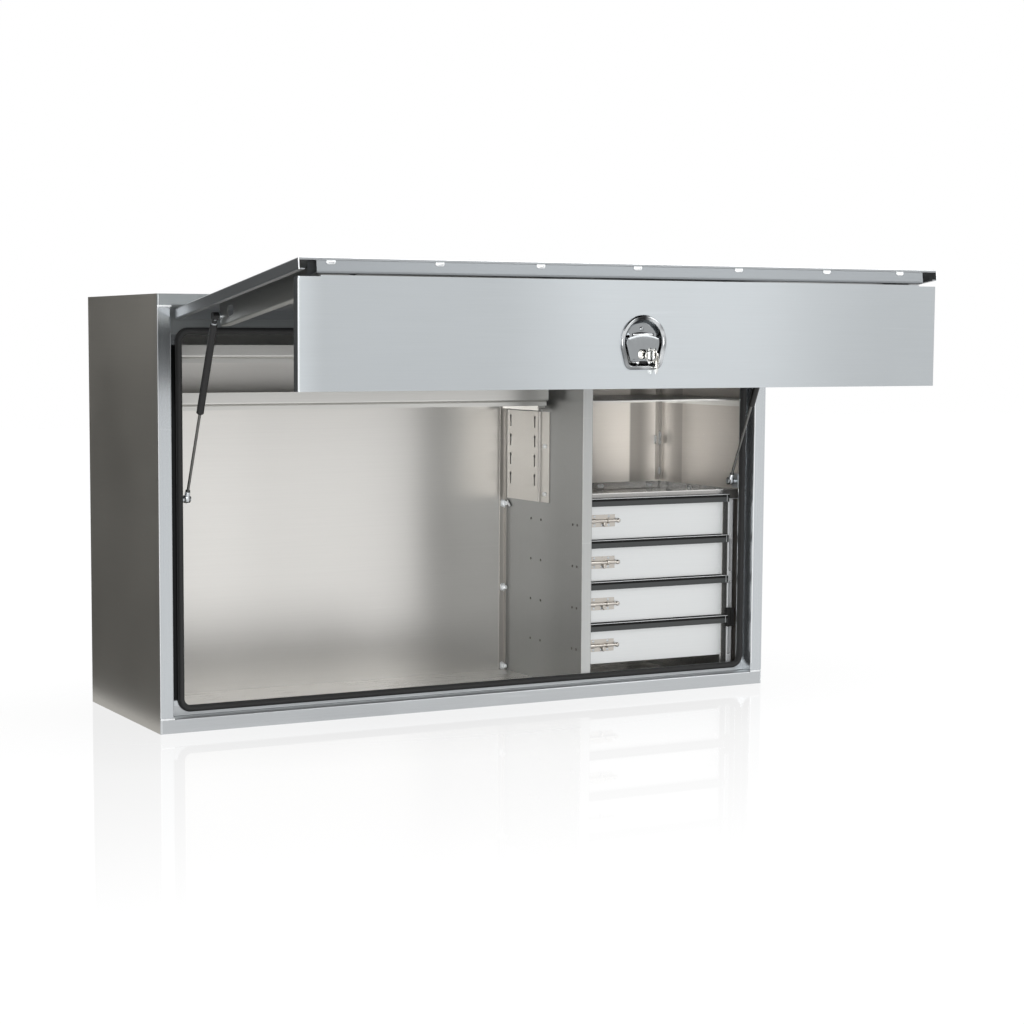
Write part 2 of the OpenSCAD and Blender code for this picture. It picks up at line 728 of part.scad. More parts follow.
module strut_studs() color("#d0d2d3") on_door() for (i = [0, 1]) {
    face = strut_xs[i] + strut_sides[i] * stiffener_off;
    tip = strut_xs[i] + strut_sides[i] * (eye_half + 2);
    rod_x(min(face, tip), max(face, tip), strut_up_y, strut_up_z, stud_r);
}

// Gas struts. The pivot at the door stays open by a small gap beside the stud.
module strut_bracket(i) {
    side = strut_sides[i];
    edge = side > 0 ? open_left : open_right;
    pin_end = strut_xs[i] + side * (eye_half + 2.5);
    back = flange_y + sheet;
    translate([edge, 0, 0]) mirror([side > 0 ? 0 : 1, 0, 0]) {
        z_run(strut_low_z - 17, strut_low_z + 17) fold([
            [-14, back + sheet / 2], [-sheet / 2, back + sheet / 2], [-sheet / 2, strut_low_y + 10]
        ]);
    }
    rod_x(min(edge - side, pin_end), max(edge - side, pin_end), strut_low_y, strut_low_z, strut_pin_r);
    rod_x(min(edge, strut_xs[i] - side * (eye_half + pass_gap)),
        max(edge, strut_xs[i] - side * (eye_half + pass_gap)), strut_low_y, strut_low_z, strut_pin_r + 2);
    rod_x(min(strut_xs[i] + side * (eye_half + pass_gap), pin_end),
        max(strut_xs[i] + side * (eye_half + pass_gap), pin_end), strut_low_y, strut_low_z, strut_pin_r + 1.5);
}
module strut_brackets() color("#c4c8ca") in_box() for (i = [0, 1]) strut_bracket(i);
module strut_rod(i) color("#7b7f82") on_strut(i) {
    difference() {
        union() {
            rod_x(-eye_half, eye_half, 0, 0, eye_r);
            cylinder(h = eye_r + 12, r = fitting_r);
        }
        rod_x(-eye_half - 1, eye_half + 1, 0, 0, strut_pin_r + run_fit);
    }
    translate([0, 0, eye_r + 12]) cylinder(h = 2 + rod_out + rod_inside, r = rod_r);
    translate([0, 0, cylinder_start + rod_inside]) cylinder(h = 8, r = cylinder_r - 1.5 - run_fit);
}
module strut_cylinder(i) color("#222426") on_strut(i) {
    length = cylinder_end - cylinder_start;
    translate([0, 0, cylinder_start]) difference() {
        cylinder(h = length, r = cylinder_r);
        translate([0, 0, -1]) cylinder(h = length, r = rod_r + run_fit);
        translate([0, 0, 10]) cylinder(h = length - 14, r = cylinder_r - 1.5);
    }
    translate([0, 0, cylinder_end]) cylinder(h = 10, r = fitting_r);
    translate([0, 0, strut_len]) {
        rod_x(-eye_half, eye_half, 0, 0, eye_r);
        rod_x(eye_half, eye_half + 1.6, 0, 0, 3);
    }
}

// Flap and its swan-neck hinge arms
module lock_outline(grow) {
    r = dish_w / 2 + grow;
    hull() {
        translate([0, dish_w / 2 - 50]) circle(r = r - 0.5, $fn = 64);
        for (s = [-1, 1]) translate([s * 26, 18 - dish_w / 2]) circle(r = 17 + grow, $fn = 32);
    }
}
module flap_pan() color("#d1d4d6") on_flap() {
    top_z = flap_top - lip_rise;
    side_from = flap_bottom + 20.5;
    side_to = top_z - 22.5;
    difference() {
        union() {
            z_run(side_from, side_to) skin_section();
            for (z = [[flap_bottom, side_from], [side_to, top_z]]) z_run(z[0], z[1]) plain_skin_section();
            slab([door_left + lip_notch, 0, top_z - 1], [door_right - lip_notch, sheet, flap_top]);
        }
        translate([lock_x, -1, lock_z]) rotate([90, 0, 0]) translate([0, 0, -sheet - 2])
            linear_extrude(sheet + 3) lock_outline(-8);
    }
    x_run(door_left + sheet, door_right - sheet) fold([
        [sheet, top_z - sheet / 2], [door_flange - 3, top_z - sheet / 2], [door_flange - 3, top_z - 22]
    ]);
    x_run(door_left + sheet, door_right - sheet) fold([
        [sheet, flap_bottom + sheet / 2], [door_flange - sheet / 2, flap_bottom + sheet / 2],
        [door_flange - sheet / 2, flap_bottom + 20]
    ]);
}
module hinge_arm(x) {
    foot_y = door_flange - 2;
    foot_top = flap_top - lip_rise;
    reach = 2 * arm_out;
    difference() {
        union() {
            x_run(x - arm_t / 2, x + arm_t / 2) translate([flap_pin_y, flap_pin_z]) {
                intersection() {
                    difference() {
                        circle(r = arm_out);
                        circle(r = arm_in);
                    }
                    polygon([for (a = [0, reach]) each (a == 0 ? [[0, 0]]
                        : [for (f = [arm_from, (arm_from + arm_to) / 2, arm_to]) reach * [sin(f), -cos(f)]])]);
                }
                rotate(arm_to - 8 - 90) translate([0, -spoke_w / 2]) square([arm_in + 0.5, spoke_w]);
                circle(r = boss_r);
            }
            slab([x - arm_t / 2, foot_y, foot_top - foot_h], [x + arm_t / 2, foot_y + 4, foot_top]);
            slab([x - foot_w / 2, foot_y, foot_top - 20], [x + foot_w / 2, foot_y + foot_t, foot_top - 2]);
        }
        rod_x(x - arm_t, x + arm_t, flap_pin_y, flap_pin_z, flap_pin_r + run_fit);
    }
}
module flap_arms() color("#b7babc") on_flap() for (x = arm_xs) hinge_arm(x);
module flap_pins() color("#c6c9cb") on_door() for (x = arm_xs) {
    half = arm_t / 2 + ear_gap + sheet;
    rod_x(x - half - 1, x + half + 1, flap_pin_y, flap_pin_z, flap_pin_r);
    for (s = [-1, 1]) rod_x(x + s * (half + 1) - 0.8, x + s * (half + 1) + 0.8,
        flap_pin_y, flap_pin_z, flap_pin_r + 1.5);
}

// Lock: chrome dish, folding pull handle, key plug with its key, and the cam behind.
module on_lock() on_flap() translate([lock_x, 0, lock_z]) children();
module dish_shape(y0, y1, grow) translate([0, y1, 0]) rotate([90, 0, 0])
    linear_extrude(y1 - y0) lock_outline(grow);
module lock_dish() color("#c9cccd") on_lock() difference() {
    union() {
        difference() {
            dish_shape(-2.5, 0, 0);
            dish_shape(-3.5, 1, -9.5);
        }
        difference() {
            dish_shape(-1, dish_d, -8.5);
            dish_shape(-3, dish_d - 1.5, -10);
        }
        intersection() {
            dish_shape(5, dish_d, -9);
            slab([-dish_w, 0, handle_pin_z + 8], [dish_w, dish_d, dish_w]);
        }
        for (s = [-1, 1]) slab([s * 24 - 3, 0, handle_pin_z - 5], [s * 24 + 3, dish_d - 1, handle_pin_z + 5]);
        rod_x(-25, 25, handle_pin_y, handle_pin_z, 2);
        rod_y(dish_d - 6, dish_d + 14, 0, plug_z, plug_r + 3);
    }
    rod_y(-1, dish_d + 20, 0, plug_z, plug_r + run_fit);
}
module lock_handle() color("#d6d8d8") on_lock() difference() {
    union() {
        translate([0, 3, 0]) rotate([90, 0, 0]) linear_extrude(4) difference() {
            intersection() {
                lock_outline(-13);
                translate([-50, -47]) square([100, 47 + handle_pin_z]);
            }
            translate([-15, -41]) square([30, 36]);
            for (s = [-1, 1]) translate([s * 24 - 4, handle_pin_z - 10]) square([8, 12]);
        }
        rod_x(-20, 20, handle_pin_y, handle_pin_z, 4);
    }
    rod_x(-30, 30, handle_pin_y, handle_pin_z, 2 + run_fit);
}
module lock_plug() color("#b9b4a8") on_lock() difference() {
    union() {
        rod_y(dish_d - 6, dish_d + 24, 0, plug_z, plug_r);
        rod_y(dish_d + 14.5, dish_d + 23, 0, plug_z, plug_r + 3);
    }
    translate([-1.3, dish_d - 8, plug_z - 4.5]) cube([2.6, 16, 9]);
}
module lock_key() color("#cfd2d2") on_lock() {
    bow_y = dish_d - 22;
    bow_r = 10;
    difference() {
        union() {
            rod_x(-1.2, 1.2, bow_y, plug_z, bow_r);
            slab([-1.2, bow_y, plug_z - 4], [1.2, dish_d + 4, plug_z + 4]);
        }
        rod_x(-2, 2, bow_y - 5, plug_z, 2.5);
    }
}
module lock_cam() color("#b0b3b4") on_lock() {
    y0 = dish_d + 24;
    w = 16;
    translate([0, y0 + 3, plug_z]) rotate([90, 0, 0]) linear_extrude(3) union() {
        circle(r = w / 2);
        translate([0, -w / 2]) square([cam_len - w / 2, w]);
        translate([cam_len - w / 2, 0]) circle(r = w / 2);
    }
}

end_panel_left();
end_panel_right();
back_panel();
top_panel();
floor_panel();
header_rail();
sill_rail();
stile_left();
stile_right();
door_seal();
divider();
corner_angles();
keyhole_brackets();
shelf_upper();
shelf_lower();
cabinet_top();
cabinet_side();
slotted_upright();
rubber_clip();
runner_outers();
hinge_leaf_fixed();
hinge_pin();
strut_brackets();
door_skin();
hinge_leaf_door();
door_end_channel();
door_stiffeners();
strut_studs();
strut_rod(0);  // strut_rod_left
strut_rod(1);  // strut_rod_right
strut_cylinder(0);  // strut_cylinder_left
strut_cylinder(1);  // strut_cylinder_right
flap_pan();
flap_arms();
flap_pins();
lock_dish();
lock_handle();
lock_plug();
lock_key();
lock_cam();
drawer_tray(0);  // drawer_tray_1
drawer_tray(1);  // drawer_tray_2
drawer_tray(2);  // drawer_tray_3
drawer_tray(3);  // drawer_tray_4
drawer_rail(0);  // drawer_rail_1
drawer_rail(1);  // drawer_rail_2
drawer_rail(2);  // drawer_rail_3
drawer_rail(3);  // drawer_rail_4
bolt_plate(0);  // bolt_plate_1
bolt_plate(1);  // bolt_plate_2
bolt_plate(2);  // bolt_plate_3
bolt_plate(3);  // bolt_plate_4
drawer_bolt(0);  // bolt_1
drawer_bolt(1);  // bolt_2
drawer_bolt(2);  // bolt_3
drawer_bolt(3);  // bolt_4
runner_middle(0);  // runner_middle_1
runner_middle(1);  // runner_middle_2
runner_middle(2);  // runner_middle_3
runner_middle(3);  // runner_middle_4
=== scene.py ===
"""Dresses the truck toolbox: finishes, seal, welds, screws, lock, keys and strut ends, and the studio."""

import json
import math

import bmesh
import bpy
from mathutils import Euler, Matrix, Vector


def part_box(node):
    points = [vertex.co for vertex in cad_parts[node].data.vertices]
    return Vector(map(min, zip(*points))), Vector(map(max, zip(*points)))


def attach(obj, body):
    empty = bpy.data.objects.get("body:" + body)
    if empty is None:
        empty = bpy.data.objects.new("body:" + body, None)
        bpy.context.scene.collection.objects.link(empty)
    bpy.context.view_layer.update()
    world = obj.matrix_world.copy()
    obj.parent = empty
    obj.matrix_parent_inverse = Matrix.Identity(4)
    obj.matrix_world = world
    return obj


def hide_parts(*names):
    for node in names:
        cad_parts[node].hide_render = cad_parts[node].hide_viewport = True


bl_info = {
    "name": "Truck Toolbox",
    "version": (1, 0, 0),
    "blender": (4, 5, 0),
    "location": "View3D > Sidebar > Toolbox",
    "description": "Finishes and small pieces of an aluminium truck toolbox, with a studio to show it in",
    "category": "Object",
}

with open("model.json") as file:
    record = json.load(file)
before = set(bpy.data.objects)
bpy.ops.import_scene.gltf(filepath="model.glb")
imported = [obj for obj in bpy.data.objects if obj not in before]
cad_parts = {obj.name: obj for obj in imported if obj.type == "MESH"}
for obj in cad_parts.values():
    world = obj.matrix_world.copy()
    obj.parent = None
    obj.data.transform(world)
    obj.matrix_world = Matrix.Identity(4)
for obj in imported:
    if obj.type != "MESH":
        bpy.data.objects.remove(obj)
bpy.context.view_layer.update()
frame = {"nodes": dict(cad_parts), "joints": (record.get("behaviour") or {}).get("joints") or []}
JOINTS = {joint["name"]: joint for joint in frame["joints"]}
MM = 0.001

# The box's front left bottom corner and its size, in millimetres.
CORNER = Vector((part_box("end_panel_left")[0].x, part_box("header_rail")[0].y, 0))
WIDTH = (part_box("end_panel_right")[1].x - CORNER.x) / MM
DEPTH = (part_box("back_panel")[1].y - CORNER.y) / MM
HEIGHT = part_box("top_panel")[1].z / MM
SHEET = (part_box("end_panel_left")[1].x - CORNER.x) / MM
OPEN_ANGLE = math.radians(-min(JOINTS["door_hinge"]["range_deg"]))

RIGHT = (1, 0, 0)
IN = (0, 1, 0)
OUT = (0, -1, 0)
UP = (0, 0, 1)
QUARTER = math.pi / 2
TO_FRONT = Euler((QUARTER, 0, 0))
TO_LEFT = Euler((0, -QUARTER, 0))
ACROSS_FRONT = Euler((QUARTER, QUARTER, 0))


def box_at(x, y, z):
    """A point in millimetres from the box's front left bottom corner, in the row frame."""
    return CORNER + Vector((x, y, z)) * MM


def node_box(node):
    """A node's lowest and highest corner in millimetres from the box's corner."""
    return [(p - CORNER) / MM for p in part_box(node)]


def node_middle(node):
    """The middle of a node's box in millimetres from the box's corner."""
    low, high = node_box(node)
    return (low + high) / 2


HINGE = node_middle("hinge_pin")


def door_at(x, y, z):
    """A point of the closed door, in millimetres, where it is with the door open."""
    c, s = math.cos(OPEN_ANGLE), math.sin(OPEN_ANGLE)
    dy, dz = y - HINGE.y, z - HINGE.z
    return box_at(x, HINGE.y + dy * c + dz * s, HINGE.z - dy * s + dz * c)


def open_door_normal():
    """The direction that the open door's outer face looks in, and how far out along it that face lies."""
    direction = (door_at(0, -1, 0) - door_at(0, 0, 0)).normalized()
    return tuple(direction), direction.dot(door_at(0, 0, 0))


FLAP_LOW, FLAP_HIGH = node_box("flap_pan")
DOOR_LEFT, DOOR_RIGHT = FLAP_LOW.x, FLAP_HIGH.x
# The end of the door's upper panel, above the bottom of the closed box.
PANEL_END = 241
FRAME_TOP = HEIGHT - 25
FRAME_LOW = 30
STILE = 30
DIVIDER = node_box("divider")[1].x
SEAL_WIDE, SEAL_DEEP = 14, 11
DISH_PROUD = 2.5
# How far the key plug's middle lies under the lock's middle.
PLUG_DROP = 22
PLUG = node_middle("lock_plug")
LOCK = Vector((PLUG.x, node_box("lock_dish")[0].y + DISH_PROUD, PLUG.z + PLUG_DROP))
DRAWERS = (1, 2, 3, 4)


def lock_at(x, y, z):
    """A point in millimetres from the lock's middle on the flap's face, where it is with the door open."""
    return box_at(LOCK.x + x, LOCK.y + y, LOCK.z + z)


def srgb(red, green, blue):
    """A colour given as 0 to 255 screen values, as linear red, green, blue and alpha."""
    def linear(v):
        v = v / 255
        return v / 12.92 if v <= 0.04045 else ((v + 0.055) / 1.055) ** 2.4
    return (linear(red), linear(green), linear(blue), 1)


# Nodes

def add_node(tree, kind, inputs=None, **settings):
    """A node with these settings, and its inputs, by name or number, fed by sockets or plain values."""
    node = tree.nodes.new(kind)
    for label, value in settings.items():
        setattr(node, label, value)
    for key, value in (inputs or {}).items():
        if isinstance(value, bpy.types.NodeSocket):
            tree.links.new(value, node.inputs[key])
        else:
            node.inputs[key].default_value = value
    return node


def new_group(name, kind, inputs, outputs):
    """A node group with sockets by name and kind, and the sockets of its two end nodes."""
    group = bpy.data.node_groups.new(name, kind)
    for in_out, sockets in (("INPUT", inputs), ("OUTPUT", outputs)):
        for label, socket_kind in sockets.items():
            group.interface.new_socket(label, in_out=in_out, socket_type="NodeSocket" + socket_kind)
    return group, group.nodes.new("NodeGroupInput").outputs, group.nodes.new("NodeGroupOutput").inputs


def maths(tree, operation, a, b, clamp=False):
    """A Math node's value."""
    return add_node(tree, "ShaderNodeMath", {0: a, 1: b}, operation=operation, use_clamp=clamp).outputs[0]


def on_line(tree, value, slope, base, clamp=False):
    """A value times a slope, plus a base."""
    return maths(tree, "ADD", maths(tree, "MULTIPLY", value, slope), base, clamp)


def swing(tree, value, amount):
    """A value from 0 to 1 as a swing of this amount around zero."""
    return maths(tree, "MULTIPLY", maths(tree, "SUBTRACT", value, 0.5), amount)


def noise(tree, vector, scale, detail, roughness=0.5):
    """A Noise Texture's value on the given coordinates."""
    return add_node(tree, "ShaderNodeTexNoise", {
        "Vector": vector, "Scale": scale, "Detail": detail, "Roughness": roughness}).outputs[0]


def stretched(tree, vector, stretch):
    """Coordinates multiplied by a vector."""
    return add_node(tree, "ShaderNodeVectorMath", {0: vector, 1: stretch}, operation="MULTIPLY").outputs[0]


def tinted(tree, color, factor):
    """A colour multiplied by a value."""
    return add_node(tree, "ShaderNodeVectorMath", {0: color, "Scale": factor}, operation="SCALE").outputs[0]


def own_place(tree):
    """The object's own coordinates."""
    return tree.nodes.new("ShaderNodeTexCoord").outputs["Object"]


def rolled_sheet_group():
    """Rolled aluminium: fine grain along the sheet, cloudy mottle, and a few thin scratches."""
    group, given, result = new_group("Rolled sheet", "ShaderNodeTree", {
        "Color": "Color", "Stretch": "Vector", "Grain": "Float", "Mottle": "Float", "Mottle Scale": "Float",
        "Roughness": "Float", "Scratches": "Float",
    }, {"Color": "Color", "Roughness": "Float", "Height": "Float"})
    place = own_place(group)
    grain = noise(group, stretched(group, place, given["Stretch"]), 1.0, 3)
    cloud = noise(group, place, given["Mottle Scale"], 3, 0.55)
    speck = noise(group, place, 900.0, 1)
    slanting = add_node(group, "ShaderNodeMapping", {
        "Vector": place, "Rotation": (0.5, 0.9, 0.3), "Scale": (3, 90, 90)})
    line = noise(group, slanting.outputs[0], 1.0, 1)
    rare, sharp = 0.74, 18.0
    scratch = maths(group, "MULTIPLY", maths(group, "SUBTRACT", line, rare), sharp, clamp=True)
    scratch = maths(group, "MULTIPLY", scratch, given["Scratches"])
    grain_part = swing(group, grain, given["Grain"])
    cloud_part = swing(group, cloud, given["Mottle"])
    total = grain_part
    for part in (cloud_part, swing(group, speck, 0.03), scratch):
        total = maths(group, "ADD", total, part)
    rough = maths(group, "ADD", given["Roughness"], maths(group, "MULTIPLY", cloud_part, 0.8))
    rough = maths(group, "ADD", rough, maths(group, "MULTIPLY", grain_part, 0.6), clamp=True)
    height = maths(group, "ADD", maths(group, "MULTIPLY", grain, 0.7), maths(group, "MULTIPLY", speck, 0.3))
    group.links.new(tinted(group, given["Color"], maths(group, "ADD", total, 1.0)), result["Color"])
    group.links.new(rough, result["Roughness"])
    group.links.new(height, result["Height"])
    return group


def soft_step_group():
    """A value that goes smoothly from 0 to 1 between two places along one direction."""
    group, given, result = new_group("Soft step", "ShaderNodeTree", {
        "Direction": "Vector", "From": "Float", "To": "Float"}, {"Value": "Float"})
    along = add_node(group, "ShaderNodeVectorMath", {
        0: own_place(group), 1: given["Direction"]}, operation="DOT_PRODUCT")
    step = add_node(group, "ShaderNodeMapRange", {
        "Value": along.outputs["Value"], "From Min": given["From"], "From Max": given["To"],
    }, interpolation_type="SMOOTHSTEP")
    group.links.new(step.outputs[0], result["Value"])
    return group


def round_spot_group():
    """A round spot fading out from its centre: a weld's heat stain, or painted reflection on chrome."""
    group, given, result = new_group("Heat tint", "ShaderNodeTree", {
        "Centre": "Vector", "Radius": "Float"}, {"Value": "Float"})
    away = add_node(group, "ShaderNodeVectorMath", {
        0: own_place(group), 1: given["Centre"]}, operation="DISTANCE")
    ratio = maths(group, "DIVIDE", away.outputs["Value"], given["Radius"])
    fade = add_node(group, "ShaderNodeMapRange", {
        "Value": ratio, "From Min": 1.0, "From Max": 0.2}, interpolation_type="SMOOTHSTEP")
    group.links.new(fade.outputs[0], result["Value"])
    return group


SHEET_GROUP = rolled_sheet_group()
STEP_GROUP = soft_step_group()
ROUND_SPOT_GROUP = round_spot_group()


# Materials

def made(name):
    """A material by name."""
    return bpy.data.materials[name]


def new_material(name, metallic, roughness, color):
    """Makes a material with one Principled shader. Returns its tree and the shader."""
    material = bpy.data.materials.new(name)
    material.use_nodes = True
    material.diffuse_color = color
    shader = material.node_tree.nodes["Principled BSDF"]
    for label, value in (("Metallic", metallic), ("Roughness", roughness), ("Base Color", color)):
        shader.inputs[label].default_value = value
    return material.node_tree, shader


def bumped(tree, shader, height, distance, strength):
    """Feeds a height into the shader's normal."""
    bump = add_node(tree, "ShaderNodeBump", {"Strength": strength, "Distance": distance, "Height": height})
    tree.links.new(bump.outputs[0], shader.inputs["Normal"])


def soft_step(tree, direction, start, end):
    """The value of a smooth step along a direction."""
    return add_node(tree, "ShaderNodeGroup", {
        "Direction": direction, "From": start, "To": end}, node_tree=STEP_GROUP).outputs["Value"]


def stained_or_shaded(tree, tone, round_spots):
    """A colour with round spots, each (centre, radius, factor): heat stains, or painted reflection."""
    for centre, radius, factor in round_spots:
        spot = add_node(tree, "ShaderNodeGroup", {"Centre": centre, "Radius": radius}, node_tree=ROUND_SPOT_GROUP)
        change = maths(tree, "MULTIPLY", spot.outputs["Value"], factor - 1)
        tone = tinted(tree, tone, maths(tree, "ADD", change, 1.0))
    return tone


ALONG_X = (5.0, 420.0, 420.0)
ALONG_Y = (420.0, 5.0, 420.0)
ALONG_Z = (420.0, 420.0, 5.0)


def sheet_metal(name, color, stretch=ALONG_X, metallic=0.8, roughness=0.34, grain=0.10, mottle=0.10,
                mottle_scale=4.0, scratches=0.08, shades=(), round_spots=()):
    """Rolled sheet. shades (painted light and shade) are (factor, steps of (direction, from, to)); spots
    (centre, radius, factor).
    """
    tree, shader = new_material(name, metallic, roughness, color)
    sheet = add_node(tree, "ShaderNodeGroup", {
        "Color": color, "Stretch": stretch, "Grain": grain, "Mottle": mottle, "Mottle Scale": mottle_scale,
        "Roughness": roughness, "Scratches": scratches}, node_tree=SHEET_GROUP)
    tone = sheet.outputs["Color"]
    for factor, steps in shades:
        change = factor - 1
        for direction, start, end in steps:
            change = maths(tree, "MULTIPLY", soft_step(tree, direction, start, end), change)
        tone = tinted(tree, tone, maths(tree, "ADD", change, 1.0))
    tree.links.new(stained_or_shaded(tree, tone, round_spots), shader.inputs["Base Color"])
    tree.links.new(sheet.outputs["Roughness"], shader.inputs["Roughness"])
    bumped(tree, shader, sheet.outputs["Height"], 0.00006, 0.35)


def uneven(name, metallic, color, patches, tone, rough, bump):
    """A finish that varies in patches: patches are (scale, detail), tone and rough are (slope, base)."""
    tree, shader = new_material(name, metallic, rough[1], color)
    place = own_place(tree)
    spread = noise(tree, place, *patches)
    tree.links.new(tinted(tree, color[:3], on_line(tree, spread, *tone)), shader.inputs["Base Color"])
    tree.links.new(on_line(tree, spread, *rough, clamp=True), shader.inputs["Roughness"])
    scale, distance, strength = bump
    bumped(tree, shader, noise(tree, place, scale, 2), distance, strength)
    return shader


def rubber(name, color, roughness=0.55, coat=0.0):
    """Black rubber with a fine moulded texture and a faint bloom."""
    shader = uneven(name, 0.0, color, (14.0, 4), (0.7, 0.65), (0.16, roughness - 0.08),
                    (1600.0, 0.00012, 0.4))
    shader.inputs["Coat Weight"].default_value = coat
    shader.inputs["Coat Roughness"].default_value = 0.30


def plated(name, color, roughness, wear=0.12, wear_scale=60.0):
    """Plated or polished metal, a little uneven, with small dull spots."""
    uneven(name, 1.0, color, (wear_scale, 4), (wear, 1 - wear / 2), (wear, roughness - wear / 2),
           (1100.0, 0.00004, 0.3))


def pitted(name, metallic, roughness, color, scale, detail, distance, strength):
    """One even tone with a fine bump."""
    tree, shader = new_material(name, metallic, roughness, color)
    bumped(tree, shader, noise(tree, own_place(tree), scale, detail), distance, strength)


# Meshes and pieces

def new_object(name, mesh):
    """An object at the origin with this mesh."""
    mesh.name = name
    obj = bpy.data.objects.new(name, mesh)
    bpy.context.collection.objects.link(obj)
    return obj


def mesh_of(vertices, edges=(), faces=()):
    """A mesh from plain lists."""
    mesh = bpy.data.meshes.new("mesh")
    mesh.from_pydata([tuple(v) for v in vertices], list(edges), list(faces))
    mesh.update()
    return mesh


def mesh_from(bm):
    """A mesh from a bmesh, which is freed."""
    mesh = bpy.data.meshes.new("mesh")
    bm.to_mesh(mesh)
    bm.free()
    return mesh


def rectangle_mesh(width, depth, move):
    """A flat rectangle, moved by a matrix."""
    corners = [(x * width / 2, y * depth / 2, 0) for x, y in ((-1, -1), (1, -1), (1, 1), (-1, 1))]
    return mesh_of([move @ Vector(corner) for corner in corners], faces=[(0, 1, 2, 3)])


def angles(count):
    """Angles evenly round a circle."""
    return [2 * math.pi * k / count for k in range(count)]


def lofted(rings, closed_ends=True, looped=False):
    """A shell through rings of points, with flat ends, or looped from the last ring to the first."""
    bm = bmesh.new()
    loops = [[bm.verts.new(p) for p in ring] for ring in rings]
    count = len(rings[0])
    for a, b in zip(loops, loops[1:] + loops[:1] if looped else loops[1:]):
        for k in range(count):
            bm.faces.new((a[k], a[(k + 1) % count], b[(k + 1) % count], b[k]))
    if closed_ends and not looped:
        bm.faces.new(list(reversed(loops[0])))
        bm.faces.new(loops[-1])
    bmesh.ops.recalc_face_normals(bm, faces=bm.faces)
    return mesh_from(bm)


def turned_mesh(profile, origin, axis, segments, side=RIGHT):
    """A turned form: profile is (distance along the axis, radius) in millimetres."""
    axis = Vector(axis).normalized()
    side = Vector(side).normalized()
    other = axis.cross(side)
    rings = []
    for along, radius in profile:
        centre = Vector(origin) + axis * along * MM
        rings.append([
            centre + (side * math.cos(t) + other * math.sin(t)) * radius * MM for t in angles(segments)])
    return lofted(rings)


def bar_mesh(start, end, width, thick, across):
    """A slim bar from start to end, width wide along across; all places in metres."""
    along = (Vector(end) - Vector(start)).normalized()
    across = Vector(across).normalized()
    out = along.cross(across)
    corners = [(-1, -1), (1, -1), (1, 1), (-1, 1)]
    return lofted([
        [Vector(place) + across * a * width / 2 + out * b * thick / 2 for a, b in corners]
        for place in (start, end)])


def plate_mesh(outline, near, far):
    """A flat plate on the lock with this outline of (x, z), between two depths."""
    return lofted([[lock_at(x, y, z) for x, z in outline] for y in (near, far)])


def ring_mesh(centre, axis, side, radius, thick, segments=28, sides=10):
    """A closed round ring; radius and thick in metres."""
    axis, side = Vector(axis), Vector(side)
    other = axis.cross(side)
    rings = []
    for t in angles(segments):
        out = side * math.cos(t) + other * math.sin(t)
        rings.append([
            centre + out * (radius + thick * math.cos(u)) + axis * thick * math.sin(u)
            for u in angles(sides)])
    return lofted(rings, looped=True)


def joined(meshes):
    """One mesh from several."""
    bm = bmesh.new()
    for mesh in meshes:
        bm.from_mesh(mesh)
        bpy.data.meshes.remove(mesh)
    return mesh_from(bm)


def crease_by_angle(obj, degrees):
    """Smooth faces with sharp edges past an angle."""
    bm = bmesh.new()
    bm.from_mesh(obj.data)
    limit = math.radians(degrees)
    for edge in bm.edges:
        edge.smooth = not (len(edge.link_faces) == 2 and edge.calc_face_angle() > limit)
    bm.to_mesh(obj.data)
    bm.free()


def finish_piece(piece, body, finish=None, crease=None):
    """Gives a piece its body and finish. Edges past a crease angle are sharp; 0 is flat faces."""
    if finish is not None:
        piece.data.materials.clear()
        piece.data.materials.append(made(finish))
    for polygon in piece.data.polygons:
        polygon.use_smooth = crease != 0
    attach(piece, body)
    if crease:
        crease_by_angle(piece, crease)
    return piece


def add_piece(name, mesh, body, finish, crease=None):
    """A finished piece from a mesh."""
    return finish_piece(new_object(name, mesh), body, finish, crease)


def settle(obj):
    """Turns what an object's modifiers make into a plain mesh."""
    depsgraph = bpy.context.evaluated_depsgraph_get()
    mesh = bpy.data.meshes.new_from_object(obj.evaluated_get(depsgraph))
    mesh.name = obj.name
    obj.modifiers.clear()
    obj.data = mesh
    return obj


# Geometry node trees

def geometry_group(name, inputs):
    """A geometry tree with a geometry input and output and the other inputs by name and kind."""
    return new_group(name, "GeometryNodeTree", {"Geometry": "Geometry", **inputs}, {"Geometry": "Geometry"})


def finish_tree(tree, given, result, geometry):
    """Ends a tree with Realize Instances and Set Material."""
    real = add_node(tree, "GeometryNodeRealizeInstances", {0: geometry})
    paint = add_node(tree, "GeometryNodeSetMaterial", {
        "Geometry": real.outputs[0], "Material": given["Material"]})
    tree.links.new(paint.outputs[0], result[0])
    return tree


def run_tree(obj, tree, **values):
    """Adds the tree to an object, sets its inputs by identifier and settles the result."""
    modifier = obj.modifiers.new(tree.name, "NODES")
    modifier.node_group = tree
    for label, value in values.items():
        item = next(i for i in tree.interface.items_tree if i.in_out == "INPUT" and i.name == label)
        modifier[item.identifier] = value
    return settle(obj)


